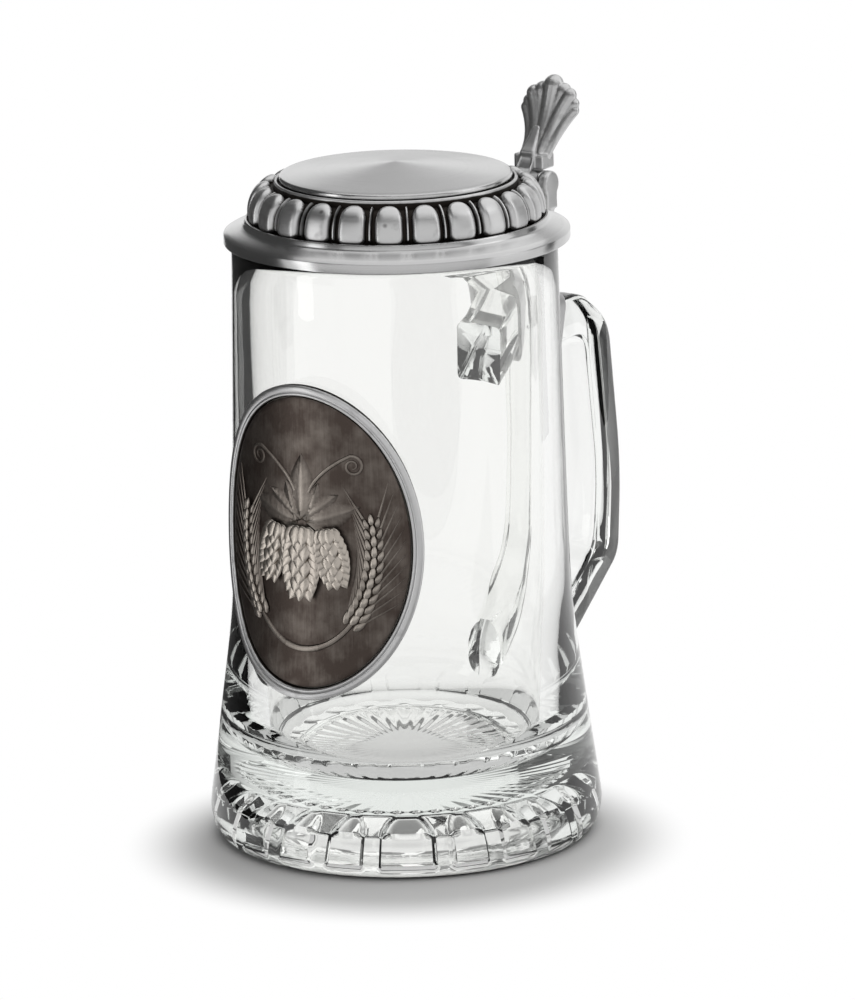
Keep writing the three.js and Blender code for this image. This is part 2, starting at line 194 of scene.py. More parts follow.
class FinishSettings(bpy.types.PropertyGroup):
    """Colours of the metals and the film."""
    pewter: colour("Pewter", "Polished pewter", "#c9c9c9")
    # The dark colour of the tarnish in the lid's grooves, and of the painted shade in the channel beside its
    # disc
    patina_and_shade: colour("Patina", "Dark tarnish in the grooves", "#2c2825")
    antique: colour("Antique", "Darkened pewter of the plate", "#4f4641")
    rubbed: colour("Rubbed", "Pewter of the plate where it is rubbed back", "#b9b1a8")
    steel: colour("Steel", "Drawn steel of the pin", "#c6c7c9")
    film: colour("Film", "Bonding film behind the plaque", "#cfccc2")


class StageSettings(bpy.types.PropertyGroup):
    """Camera, floor and light."""
    view_turn: turn("View", "Where the camera stands, from the front", 35)
    view_distance: length("Distance", "From the mug's middle line to the camera, level", 1684.4)
    view_height: length("View height", "Height of the camera", 508)
    view_pitch: turn("Pitch", "How far the camera looks down", 14.08)
    view_yaw: turn("Yaw", "How far it looks to the right of the mug", 0.237)
    view_roll: turn("Roll", "How far it is tipped", -1.2)
    focal: share("Focal length", "Focal length as a multiple of the picture's height", 6.848)
    floor: colour("Floor", "Colour of the floor", "#f7f7f6")
    backdrop: colour("Backdrop", "Colour of the background", "#ffffff")
    flag: colour("Flag", "Colour of the dark cloth", "#626262")
    card: colour("Card", "Colour of the white cards", "#f0f0f0")
    dim: colour("Dim card", "Colour of the grey card that lies in front", "#a8a8a8")
    ambient: share("Ambient", "Strength of the even light from all round", 0.22)
    shadow_shift: length("Shadow shift", "How far towards the camera the shadow's middle is", 14)
    shadow_near: length("Shadow near", "Where the floor begins to turn white", 48)
    shadow_far: length("Shadow far", "Where it is as white as the background", 73)


class MugSettings(bpy.types.PropertyGroup):
    """All the settings of the mug."""
    glass: bpy.props.PointerProperty(name="Glass", description="The glass", type=GlassSettings)
    lid: bpy.props.PointerProperty(name="Lid", description="The lid", type=LidSettings)
    hinge: bpy.props.PointerProperty(name="Hinge", description="The hinge", type=HingeSettings)
    plaque: bpy.props.PointerProperty(name="Plaque", description="The plaque", type=PlaqueSettings)
    finish: bpy.props.PointerProperty(name="Finish", description="The finishes", type=FinishSettings)
    stage: bpy.props.PointerProperty(name="Stage", description="The stage", type=StageSettings)


# Shapes

def smooth_step(low, high, value):
    """0 below low, 1 above high, with a soft rise between them."""
    t = min(1.0, max(0.0, (value - low) / (high - low)))
    return t * t * (3 - 2 * t)


def arc(centre, radii, start, end, steps):
    """Points along part of an ellipse, both ends included, with angles in degrees."""
    points = []
    for i in range(steps + 1):
        angle = math.radians(start + (end - start) * i / steps)
        points.append((centre[0] + radii[0] * math.cos(angle), centre[1] + radii[1] * math.sin(angle)))
    return points


def line(start, end, steps):
    """Points from start to end, the first left out."""
    return [
        (start[0] + (end[0] - start[0]) * i / steps, start[1] + (end[1] - start[1]) * i / steps)
        for i in range(1, steps + 1)
    ]


def eased(corners, steps=6):
    """A closed outline whose corners, (x, y, rounding), are eased by curves no longer than their sides."""
    points = []
    for i, (x, y, rounding) in enumerate(corners):
        here = Vector((x, y))
        before = Vector(corners[i - 1][:2]) - here
        after = Vector(corners[(i + 1) % len(corners)][:2]) - here
        reach = min(rounding, 0.45 * before.length, 0.45 * after.length)
        if reach <= 0:
            points.append(here)
            continue
        first = here + before.normalized() * reach
        last = here + after.normalized() * reach
        for k in range(steps + 1):
            t = k / steps
            points.append(first * (1 - t) ** 2 + here * (2 * t * (1 - t)) + last * t ** 2)
    return points


def chained(bm, points, closed=False):
    """A chain of edges through points in space."""
    verts = [bm.verts.new(p) for p in points]
    pairs = list(zip(verts, verts[1:]))
    if closed:
        pairs.append((verts[-1], verts[0]))
    return verts + [bm.edges.new(pair) for pair in pairs]


def turned(profile, steps, centre_y):
    """A profile of (radius, height) pairs spun about an upright line. Angle 0 is at the front."""
    bm = bmesh.new()
    chain = chained(bm, [(0, centre_y - r, z) for r, z in profile])
    bmesh.ops.spin(
        bm, geom=chain, cent=(0, centre_y, 0), axis=(0, 0, 1), angle=math.tau, steps=steps, use_merge=True)
    poles = [v for v in bm.verts if math.hypot(v.co.x, v.co.y - centre_y) < WELD]
    bmesh.ops.remove_doubles(bm, verts=poles, dist=WELD)
    bmesh.ops.recalc_face_normals(bm, faces=bm.faces)
    return bm


def polar(co, centre_y):
    """Radius and angle of a point about an upright line, with angle 0 at the front and +X at a quarter."""
    return math.hypot(co.x, co.y - centre_y), math.atan2(co.x, centre_y - co.y)


def place_polar(vert, centre_y, radius, angle):
    """Puts a vertex at a radius and angle, at its own height."""
    vert.co.x = radius * math.sin(angle)
    vert.co.y = centre_y - radius * math.cos(angle)


def slab(outline, half_width):
    """A side outline of (y, z) pairs made into a slab across X."""
    bm = bmesh.new()
    face = bm.faces.new([bm.verts.new((-half_width, y, z)) for y, z in outline])
    grown = bmesh.ops.extrude_face_region(bm, geom=[face])["geom"]
    moved = [v for v in grown if isinstance(v, bmesh.types.BMVert)]
    bmesh.ops.translate(bm, verts=moved, vec=(2 * half_width, 0, 0))
    bmesh.ops.recalc_face_normals(bm, faces=bm.faces)
    return bm


def bevel(bm, edges, offset, segments):
    """Rounds edges."""
    bmesh.ops.bevel(
        bm, geom=edges, offset=offset, offset_type="OFFSET", segments=segments, profile=0.5,
        affect="EDGES", clamp_overlap=False, material=-1)


def long_edges(bm, half_width):
    """The edges round the two flat sides of a slab."""

    def on_one_side(edge):
        first, second = edge.verts
        outermost = all(abs(abs(v.co.x) - half_width) < TOUCH for v in edge.verts)
        return outermost and first.co.x * second.co.x > 0

    return [e for e in bm.edges if on_one_side(e)]


def tube(bm, points, radii, sides):
    """A closed round bar through points, with its own radius at each."""
    loops = []
    for i, point in enumerate(points):
        ahead = points[min(i + 1, len(points) - 1)] - points[max(i - 1, 0)]
        place = Matrix.Translation(point) @ ahead.to_track_quat("Z", "Y").to_matrix().to_4x4()
        ends = i in (0, len(points) - 1)
        ring = bmesh.ops.create_circle(bm, cap_ends=ends, segments=sides, radius=radii[i], matrix=place)
        loops.append({e for v in ring["verts"] for e in v.link_edges if e.other_vert(v) in ring["verts"]})
    for first, second in zip(loops, loops[1:]):
        bmesh.ops.bridge_loops(bm, edges=list(first | second))


def ball(bm, centre, scale, turned_by, u, v):
    """A rounded lump: a sphere stretched by scale, turned and put at centre."""
    place = Matrix.Translation(centre)
    if turned_by is not None:
        place = place @ turned_by
    place = place @ Matrix.Diagonal((*scale, 1))
    return bmesh.ops.create_uvsphere(bm, u_segments=u, v_segments=v, radius=1, matrix=place)["verts"]


def mesh_of(bm, name):
    """Writes a bmesh into a new mesh and frees it."""
    mesh = bpy.data.meshes.new(name)
    bm.to_mesh(mesh)
    bm.free()
    return mesh


def finished(mesh, *modifiers):
    """The mesh after modifiers, each a type and its settings."""
    obj = bpy.data.objects.new("work", mesh)
    bpy.context.scene.collection.objects.link(obj)
    for kind, settings in modifiers:
        modifier = obj.modifiers.new(kind.title(), kind)
        for name, value in settings.items():
            setattr(modifier, name, value)
    bpy.context.view_layer.update()
    result = bpy.data.meshes.new_from_object(obj.evaluated_get(bpy.context.evaluated_depsgraph_get()))
    bpy.data.objects.remove(obj)
    return result


def cast(bm, grain, rounds):
    """Blends overlapping forms into one casting with soft edges."""
    mesh = finished(
        mesh_of(bm, "forms"),
        ("REMESH", {"mode": "VOXEL", "voxel_size": grain}),
        ("SMOOTH", {"factor": 0.5, "iterations": rounds}))
    result = bmesh.new()
    result.from_mesh(mesh)
    return result


def keep_side(bm, point, normal):
    """Cuts a closed form by a plane, keeps the side that normal points away from and closes it."""
    cut = bmesh.ops.bisect_plane(
        bm, geom=bm.verts[:] + bm.edges[:] + bm.faces[:], plane_co=point, plane_no=normal, clear_outer=True)
    rim = [e for e in cut["geom_cut"] if isinstance(e, bmesh.types.BMEdge)]
    bmesh.ops.holes_fill(bm, edges=rim, sides=0)
    bmesh.ops.recalc_face_normals(bm, faces=bm.faces)


def write_point_value(mesh, name, values):
    """Keeps one number for each point of a mesh, for its material to read."""
    attribute = mesh.attributes.new(name, "FLOAT", "POINT")
    attribute.data.foreach_set("value", values)


def put(name, mesh, materials, body, nodes, crease=35):
    """Makes a piece of a finished mesh and sets it in place of its CAD nodes."""
    # Clearing drops the empty slots that modifiers leave, and also resets which face has which material
    if len(materials) == 1:
        mesh.materials.clear()
    for material in materials:
        mesh.materials.append(material)
    mesh.shade_smooth()
    mesh.set_sharp_from_angle(angle=math.radians(crease))
    obj = bpy.data.objects.new(name, mesh)
    bpy.context.scene.collection.objects.link(obj)
    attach(obj, body)
    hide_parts(*nodes)


def put_casting(name, mesh, body, node, crease=60):
    """Puts a piece of brushed cast pewter in place of its CAD node."""
    put(name, mesh, [bpy.data.materials["brushed_cast_pewter"]], body, [node], crease)


# Materials

def add(tree, kind, inputs=None, **settings):
    """Adds a node: a socket among its inputs is linked, and any other value is set."""
    node = tree.nodes.new(kind)
    for name, value in settings.items():
        setattr(node, name, value)
    for name, value in (inputs or {}).items():
        if isinstance(value, bpy.types.NodeSocket):
            tree.links.new(value, node.inputs[name])
        else:
            node.inputs[name].default_value = value
    return node


def new_material(name):
    """An empty node material and its tree."""
    material = bpy.data.materials.new(name)
    material.use_nodes = True
    material.node_tree.nodes.clear()
    return material, material.node_tree


def object_place(tree):
    """Where a point is on its own object."""
    return add(tree, "ShaderNodeTexCoord").outputs["Object"]


def stretched(tree, place, scale):
    """A place scaled along each axis, which draws a pattern out into lines."""
    return add(tree, "ShaderNodeMapping", {"Vector": place, "Scale": scale}).outputs["Vector"]


def noise(tree, place, cell, detail=2.0, roughness=0.5):
    """Soft mottling with cells of a real size."""
    inputs = {"Vector": place, "Scale": 1 / cell, "Detail": detail, "Roughness": roughness}
    return add(tree, "ShaderNodeTexNoise", inputs).outputs["Fac"]


def spots(tree, place, cell):
    """Distance from scattered points that stand about one cell apart."""
    return add(tree, "ShaderNodeTexVoronoi", {"Vector": place, "Scale": 1 / cell}).outputs["Distance"]


def maths(tree, operation, *values):
    """One operation on sockets and numbers."""
    return add(tree, "ShaderNodeMath", dict(enumerate(values)), operation=operation).outputs[0]


def remapped(tree, value, source, target, curve="LINEAR"):
    """A value moved from one range to another, each given as its two ends."""
    ends = {"From Min": source[0], "From Max": source[1], "To Min": target[0], "To Max": target[1]}
    return add(tree, "ShaderNodeMapRange", {"Value": value, **ends}, interpolation_type=curve).outputs[0]


def mixed(tree, share_of_second, first, second):
    """One colour fading into another."""
    return add(tree, "ShaderNodeMix", {0: share_of_second, 6: first, 7: second}, data_type="RGBA").outputs[2]


def darker(tone, share_kept):
    """A colour with only a share of its light."""
    return [share_kept * channel for channel in tone[:3]] + [1]


def bumped(tree, height, strength, depth, under=None):
    """Small differences of height, laid over coarser or finer ones where those are given."""
    inputs = {"Height": height, "Strength": strength, "Distance": depth}
    if under is not None:
        inputs["Normal"] = under
    return add(tree, "ShaderNodeBump", inputs).outputs["Normal"]


def metal(tree, tone, gloss, more):
    """Bare metal as the surface of a material."""
    inputs = {"Base Color": tone, "Metallic": 1.0, "Roughness": gloss, **more}
    shader = add(tree, "ShaderNodeBsdfPrincipled", inputs)
    add(tree, "ShaderNodeOutputMaterial", {"Surface": shader.outputs["BSDF"]})


def pressed_glass(size):
    """Soda-lime glass, pressed and fire polished: clear, faintly green where thick, gently uneven."""
    material, tree = new_material("pressed_soda_lime_glass")
    waves = noise(tree, object_place(tree), 14 * MM, 1.0)
    glass = add(tree, "ShaderNodeBsdfPrincipled", {
        "Base Color": size.clear, "Roughness": 0.0, "IOR": 1.52, "Transmission Weight": 1.0,
        "Normal": bumped(tree, waves, 0.25, 0.12 * MM)})
    depth = add(tree, "ShaderNodeVolumeAbsorption", {"Color": size.tint, "Density": 8.0})
    add(tree, "ShaderNodeOutputMaterial", {
        "Surface": glass.outputs["BSDF"], "Volume": depth.outputs["Volume"]})
    return material


def cast_pewter(finish):
    """Cast pewter brushed by hand: satin crests with fine lines and a few pits, and dark where a piece marks
    it: tarnish in the lid's grooves, painted shade in the channel beside its disc.
    """
    material, tree = new_material("brushed_cast_pewter")
    place = object_place(tree)
    # Each piece marks how dark it is: tarnish in the lid's grooves, painted shade in the channel beside its
    # disc
    patina_and_shade = add(tree, "ShaderNodeAttribute", attribute_name="patina_and_shade").outputs["Fac"]
    # Brushing lines are finer than this on the real casting, and are drawn coarser so that they show
    lines = noise(tree, stretched(tree, place, (0.05, 0.05, 1)), 0.5 * MM, 3.0)
    pits = remapped(tree, spots(tree, place, 9 * MM), (0.03, 0.09), (0.7, 0.0))
    uneven = maths(tree, "ADD", patina_and_shade, noise(tree, place, 4 * MM, 4.0))
    darkening = remapped(tree, uneven, (0.58, 1.2), (0.0, 1.0))
    dark = maths(tree, "MAXIMUM", darkening, pits)
    tone = mixed(tree, dark, finish.pewter, finish.patina_and_shade)
    gloss = remapped(tree, maths(tree, "ADD", dark, lines), (0.3, 1.5), (0.32, 0.6))
    grit = bumped(tree, noise(tree, place, 0.4 * MM), 0.25, 0.03 * MM)
    metal(tree, tone, gloss, {"Normal": bumped(tree, lines, 0.35, 0.04 * MM, grit)})
    return material


def turned_pewter(finish):
    """Pewter finished on a lathe: fine rings about the lid's axis that stretch the highlights."""
    material, tree = new_material("turned_pewter")
    place = object_place(tree)
    centred = add(tree, "ShaderNodeMapping", {"Vector": place, "Location": (0, -LID_Y, 0)})
    parts = add(tree, "ShaderNodeSeparateXYZ", {"Vector": centred.outputs["Vector"]})
    flat = add(tree, "ShaderNodeCombineXYZ", {"X": parts.outputs["X"], "Y": parts.outputs["Y"]})
    radius = add(tree, "ShaderNodeVectorMath", {0: flat.outputs["Vector"]}, operation="LENGTH")
    along = add(tree, "ShaderNodeCombineXYZ", {"X": radius.outputs["Value"], "Y": parts.outputs["Z"]})
    # The tool's rings are finer than this on the real lid, and are drawn coarser so that they show
    rings = noise(tree, along.outputs["Vector"], 0.5 * MM, 3.0, 0.7)
    tone = mixed(tree, rings, finish.pewter, darker(finish.pewter, 0.8))
    gloss = remapped(tree, noise(tree, place, 9 * MM, 3.0), (0.0, 1.0), (0.2, 0.28))
    tangent = add(tree, "ShaderNodeTangent", direction_type="RADIAL", axis="Z")
    metal(tree, tone, gloss, {
        "Anisotropic": 0.8, "Anisotropic Rotation": 0.25, "Tangent": tangent.outputs["Tangent"],
        "Normal": bumped(tree, rings, 0.2, 0.03 * MM)})
    return material


def antique_pewter(finish):
    """Pewter darkened with acid and rubbed back: bright on the high relief, brown-black in the ground."""
    material, tree = new_material("antique_pewter")
    place = object_place(tree)
    relief = add(tree, "ShaderNodeAttribute", attribute_name="relief").outputs["Fac"]
    # The stippling is finer than this on the real plate, and is drawn coarser so that it shows
    punch = spots(tree, place, 0.7 * MM)
    rubbed = noise(tree, stretched(tree, place, (1, 1, 0.06)), 0.6 * MM, 3.0)
    height = maths(tree, "MULTIPLY", relief, 1.6)
    uneven = maths(tree, "ADD", height, noise(tree, place, 6 * MM, 6.0))
    streaked = maths(tree, "MULTIPLY_ADD", rubbed, 0.3, uneven)
    worn = remapped(tree, streaked, (0.55, 2.0), (0.0, 1.0))
    tone = mixed(tree, worn, finish.antique, finish.rubbed)
    gloss = remapped(tree, streaked, (0.4, 1.6), (0.46, 0.3))
    fine = bumped(tree, rubbed, 0.3, 0.03 * MM)
    metal(tree, tone, gloss, {"Normal": bumped(tree, punch, 0.35, 0.06 * MM, fine)})
    return material


def drawn_steel(finish):
    """Drawn steel wire: plain and bright, with fine lines along it."""
    material, tree = new_material("drawn_steel")
    # The lines are finer than this on real wire, and are drawn coarser so that they show
    lines = noise(tree, stretched(tree, object_place(tree), (0.05, 1, 1)), 0.3 * MM)
    metal(tree, finish.steel, remapped(tree, lines, (0.0, 1.0), (0.2, 0.4)), {})
    return material


def bonding_film(finish):
    """Bonding film, pressed flat: pale and dull, with faint mottling where it has wetted the glass."""
    material, tree = new_material("bonding_film")
    mottling = noise(tree, object_place(tree), 3 * MM, 4.0)
    tone = mixed(tree, mottling, finish.film, darker(finish.film, 0.7))
    film = add(tree, "ShaderNodeBsdfPrincipled", {"Base Color": tone, "Roughness": 0.6})
    add(tree, "ShaderNodeOutputMaterial", {"Surface": film.outputs["BSDF"]})
    return material


# Glass

# Millimetres from the rim down to the top and underside of the handle's arm, and to the top of its lower end
ARM_TOP = 26.3
ARM_UNDER = 38.6
TAIL_TOP = 112.2


def wall_radius(size, z):
    """Outer radius of the glass at a height: two straight lines joined by a soft bend."""
    height = GLASS_HIGH.z
    base_radius = GLASS_HIGH.x

    def straight(h):
        return size.rim_radius + size.draft * (height - h)

    def bend(h):
        return (size.flare_height - h + math.hypot(size.flare_height - h, size.flare_blend)) / 2

    slope = (base_radius - straight(size.foot_rise)) / bend(size.foot_rise)
    return straight(z) + slope * bend(z)


def glass_profile(size):
    """The body's section, from the middle of the hollow's roof round to the middle of the floor inside."""
    height = GLASS_HIGH.z
    base_radius = GLASS_HIGH.x
    roof = size.recess_depth
    star_end = size.star_radius + 2 * MM
    profile = [(0, roof)] + line((0, roof), (size.star_radius - 3 * MM, roof), 11)
    profile += line((size.star_radius - 3 * MM, roof), (star_end, roof), 12)
    profile += line((star_end, roof), (size.recess_radius, roof), 2)
    crease = (size.crease_radius, size.crease_height)
    profile += line((size.recess_radius, size.recess_depth), crease, 12)
    profile += line(crease, (size.ring_inner, size.ring_height), 12)
    lip = 0.4 * MM
    profile += arc((size.ring_inner + lip, lip), (lip, lip), 180, 270, 4)
    foot = (base_radius - size.ring_outer, size.foot_rise)
    profile += arc((size.ring_outer, size.foot_rise), foot, -90, 0, 14)
    round_rim = size.rim_wall / 2
    top = height - round_rim
    wall_steps = 44
    for i in range(1, wall_steps + 1):
        z = size.foot_rise + (top - size.foot_rise) * (i / wall_steps) ** 1.2
        profile.append((wall_radius(size, z), z))
    profile += arc((size.rim_radius - round_rim, top), (round_rim, round_rim), 0, 180, 10)[1:]
    corner = (size.bore_radius - size.bore_corner, size.bore_floor + size.bore_corner)
    profile += line((size.rim_radius - size.rim_wall, top), (size.bore_radius, corner[1]), 12)
    profile += arc(corner, (size.bore_corner, size.bore_corner), 0, -90, 14)[1:]
    profile += line((corner[0], size.bore_floor), (0, size.bore_floor), 5)
    return profile


def press_flutes(bm, size):
    """Presses round-headed flutes into the side of the hollow, and cuts the star in its roof."""
    pitch = (math.tau - size.flute_seam) / (size.flutes - 1)
    scallop = 1.6 * MM
    ray_fade = 0.6 * MM
    flute_half = 0.62
    land_edge = 0.7
    for vert in bm.verts:
        radius, angle = polar(vert.co, MUG_Y)
        if vert.co.z > size.recess_depth + TOUCH or radius > size.ring_inner - TOUCH:
            continue
        from_seam = abs(math.remainder(angle - size.seam_turn, math.tau))
        if radius <= size.recess_radius + TOUCH:
            wave = abs(math.remainder(from_seam * size.star_rays / math.tau, 1)) * 2
            end = size.star_radius + scallop * (math.sqrt(1 - (1 - wave) ** 2) - 0.5)
            reach = (min(radius, end) / size.star_radius) ** 3.5 * smooth_step(end + ray_fade, end, radius)
            vert.co.z += size.star_depth * wave * reach
            continue
        across = max(0, from_seam - size.flute_seam / 2) / pitch
        off_centre = abs(across - round(across)) * 2
        if radius < size.crease_radius:
            rise = (radius - size.recess_radius) / (size.crease_radius - size.recess_radius)
            half = flute_half * math.sqrt(1 - (1 - rise) ** 2)
            hollow = math.sqrt(max(0, 1 - (off_centre / max(half, 1e-3)) ** 2))
            pressed = 0.25 * smooth_step(half + 0.1, half, off_centre) + 0.75 * hollow
            vert.co.z += 0.8 * size.flute_depth * pressed * rise
        else:
            rise = (size.ring_height - vert.co.z) / (size.ring_height - size.crease_height)
            pressed = smooth_step(land_edge, flute_half, off_centre) * smooth_step(0.02, 0.1, rise)
        place_polar(vert, MUG_Y, radius + size.flute_depth * pressed, angle)


def handle_outline(size):
    """Side outline of the handle, (y, z) from the mug's middle line, started inside the wall."""
    rim = size.rim_radius
    top = GLASS_HIGH.z
    root = -2.2
    # Out from the rim, down from the rim, and rounding, in millimetres
    corners = [
        (root, 31.2, 0),
        (15, ARM_TOP, 10),
        (31.8, ARM_TOP, 5),
        (44.6, 36.1, 6),
        (49.6, 76, 18),
        (47.8, 100, 4),
        (root, 140, 0),
        (root, TAIL_TOP, 0),
        (21, 106, 8),
        (34.5, 96, 6),
        (37.1, 76, 16),
        (32.1, 37.2, 5),
        (18, ARM_UNDER, 6),
        (root, 46.5, 0),
    ]
    placed = [(rim + out * MM, top - down * MM, rounding * MM) for out, down, rounding in corners]
    return [(p.x + MUG_Y, p.y) for p in eased(placed)]


def handle_form(size):
    """The handle with rounded edges: narrower where it joins the wall, and oval at its lower end."""
    half = size.handle_width / 2
    bm = slab(handle_outline(size), half)
    bevel(bm, long_edges(bm, half), size.handle_edge, 4)
    top = GLASS_HIGH.z
    pad_reach = 14 * MM
    tail_reach = 24 * MM
    # Rows of cuts give the lower end enough points to turn oval
    levels = [((0, 0, top - (100 + 3 * i) * MM), (0, 0, 1)) for i in range(14)]
    steps = [((0, MUG_Y + size.rim_radius + 3 * i * MM, 0), (0, 1, 0)) for i in range(11)]
    for point, normal in levels + steps:
        bmesh.ops.bisect_plane(
            bm, geom=bm.verts[:] + bm.edges[:] + bm.faces[:], dist=TOUCH, plane_co=point, plane_no=normal)
    for vert in bm.verts:
        out = vert.co.y - MUG_Y - size.rim_radius
        near = smooth_step(pad_reach, 0, out)
        vert.co.x *= 1 - size.pad_narrowing * near
        if vert.co.z < top / 2:
            reach = min(max(0, out), tail_reach)
            roof = top - TAIL_TOP * MM + 0.27 * reach
            floor = top - 138 * MM + 0.8 * reach
            off = min(1, abs(2 * vert.co.z - roof - floor) / (roof - floor))
            oval = (1 - min(0.97, off) ** 2.4) ** 0.42
            vert.co.x *= 1 - smooth_step(tail_reach, 3 * MM, out) * (1 - 0.86 * oval)
    return bm


class MUG_OT_glass(bpy.types.Operator):
    """Makes the glass body with its hollow fluted foot, and the handle that is one piece with it"""
    bl_idname = "mug.glass"
    bl_label = "Glass"

    def execute(self, context):
        size = context.scene.mug.glass
        body = turned(glass_profile(size), size.flutes * 20, MUG_Y)
        press_flutes(body, size)
        handle = bpy.data.objects.new("handle", mesh_of(handle_form(size), "handle"))
        context.scene.collection.objects.link(handle)
        union = {"operation": "UNION", "solver": "MANIFOLD", "object": handle}
        joined = finished(mesh_of(body, "body"), ("BOOLEAN", union))
        bpy.data.objects.remove(handle)
        put("glass", joined, [pressed_glass(size)], "mug", ["glass_body", "glass_handle"])
        return {"FINISHED"}


# Lid

# Degrees on the lobed bulge, from its foot to its top
BULGE_START = -16
BULGE_END = 90


def lobed(bm, size, foot, radii):
    """Raises the lobes and the beads between them on the bulge, and returns how tarnished each point is."""
    patina_and_shade = []
    # Shares of the way up the bulge: the round head of a lobe starts and the square heel ends there
    head_start = 0.46
    head_length = 0.46
    heel_end = 0.17
    heel_length = 0.16
    for vert in bm.verts:
        radius, angle = polar(vert.co, LID_Y)
        out = (radius - foot[0]) / radii[0]
        rise = (vert.co.z - foot[1]) / radii[1]
        size_of_bulge = math.hypot(out, rise)
        if abs(size_of_bulge - 1) > 0.004 or radius < foot[0] - TOUCH:
            patina_and_shade.append(0.0)
            continue
        up = (math.degrees(math.atan2(rise, out)) - BULGE_START) / (BULGE_END - BULGE_START)
        phase = (angle - size.lobe_turn) * size.lobes / math.tau
        across = abs(phase - round(phase)) * 2
        side = across / size.lobe_width
        head = max(0, (up - head_start) / head_length)
        heel = max(0, (heel_end - up) / heel_length)
        if heel > 0:
            reach = (side ** 4 + heel ** 4) ** 0.25
        else:
            reach = (side ** 2.2 + head ** 2.2) ** (1 / 2.2)
        dome = math.sqrt(1 - min(1, reach) ** 6)
        off_bead = min(1, (1 - across) / (2 * size.bead_width))
        bead = math.sqrt(1 - off_bead ** 2) * smooth_step(0.03, 0.12, up) * smooth_step(0.97, 0.88, up)
        height = max(dome, 0.6 * bead)
        normal = Vector((out / radii[0], rise / radii[1])).normalized()
        drop = size.lobe_depth * (1 - height)
        vert.co.z -= drop * normal.y
        place_polar(vert, LID_Y, radius - drop * normal.x, angle)
        patina_and_shade.append(1 - smooth_step(0.05, 0.5, height))
    return patina_and_shade


def lid_section(size):
    """Section of the lid casting, from the middle of its underside round to the middle of its deck."""
    seat = LID_LOW.z
    band_top = seat + size.flange_band
    cone_top = band_top + size.cone_rise
    lobe_top = cone_top + size.lobe_rise
    deck = lobe_top - 0.6 * MM
    middle = deck + size.disc_cone
    under = [
        (0, middle - size.wall),
        (size.lobe_top - size.wall - 1.2 * MM, deck - size.wall),
        (size.lobe_top + 0.4 * MM, cone_top + size.lobe_rise * 0.55),
        (size.lobe_radius - size.wall - 1.6 * MM, cone_top + size.lobe_rise * 0.2),
        (size.lobe_radius - size.wall - 0.6 * MM, band_top - 0.4 * MM),
        (size.lobe_radius - size.wall + 0.7 * MM, seat + 0.4 * MM),
        (size.lobe_radius - size.wall + 1.4 * MM, seat),
    ]
    edge = 0.25 * MM
    ring = size.lobe_radius + 1.1 * MM
    cone_foot = (size.flange_radius - 0.45 * MM, band_top + 0.25 * MM)
    cone_head = (ring + 0.3 * MM, band_top + 2.0 * MM)
    flange = [
        *arc((size.flange_radius - edge, seat + edge), (edge, edge), -90, 0, 3),
        *arc((size.flange_radius - edge, band_top - edge), (edge, edge), 0, 45, 3),
        *line(cone_foot, cone_head, 4),
        (ring, band_top + 2.25 * MM),
        (ring - 0.15 * MM, band_top + 2.6 * MM),
        (ring - 0.3 * MM, cone_top - 0.35 * MM),
        (ring - 0.5 * MM, cone_top - 0.08 * MM),
        (ring - 0.8 * MM, cone_top),
        (ring - 1.1 * MM, cone_top - 0.1 * MM),
        (ring - 1.3 * MM, cone_top - 0.7 * MM),
    ]
    foot = (size.lobe_top, cone_top + 1.4 * MM)
    radii = (size.lobe_radius - size.lobe_top, lobe_top - foot[1])
    bulge = arc(foot, radii, BULGE_START, BULGE_END, 36)
    bead = arc((size.lobe_top - 0.75 * MM, lobe_top - 0.4 * MM), (0.42 * MM, 0.5 * MM), 10, 170, 8)
    well = [
        (size.lobe_top - 1.25 * MM, lobe_top - 1.3 * MM),
        (size.disc_radius - 0.6 * MM, lobe_top - 1.3 * MM),
        (size.disc_radius - 0.9 * MM, deck),
        (0, middle),
    ]
    channel_floor = lobe_top - 0.8 * MM
    channel = [(size.lobe_top - 0.1 * MM, channel_floor), (size.lobe_top - 0.3 * MM, channel_floor)]
    return under + flange + bulge + channel + bead + well, foot, radii


class MUG_OT_lid(bpy.types.Operator):
    """Makes the lid casting with its turned flange, lobes and beads"""
    bl_idname = "mug.lid"
    bl_label = "Lid"

    def execute(self, context):
        settings = context.scene.mug
        size = settings.lid
        profile, foot, radii = lid_section(size)
        bm = turned(profile, size.lobes * 30, LID_Y)
        for face in bm.faces:
            radius = polar(face.calc_center_median(), LID_Y)[0]
            face.material_index = 1 if radius > size.lobe_radius + 0.25 * MM else 0
        patina_and_shade = lobed(bm, size, foot, radii)
        lobe_top = foot[1] + radii[1]
        # The channel beside the disc is made fully dark: painted shade of the gap under the disc's edge, over
        # the patina of that hollow. The crevice at the foot of the lobes is made fully dark too.
        for index, vert in enumerate(bm.verts):
            radius = polar(vert.co, LID_Y)[0]
            by_disc = size.disc_radius - 1 * MM < radius < size.lobe_top + TOUCH
            in_channel = by_disc and vert.co.z < lobe_top - 0.35 * MM
            in_crevice = abs(radius - size.lobe_radius) < 0.35 * MM and vert.co.z < foot[1] - 1.45 * MM
            if in_channel or in_crevice:
                patina_and_shade[index] = 1.0
        mesh = mesh_of(bm, "lid_casting")
        write_point_value(mesh, "patina_and_shade", patina_and_shade)
        materials = [cast_pewter(settings.finish), turned_pewter(settings.finish)]
        put("lid_casting", mesh, materials, "lid", ["lid"])
        return {"FINISHED"}


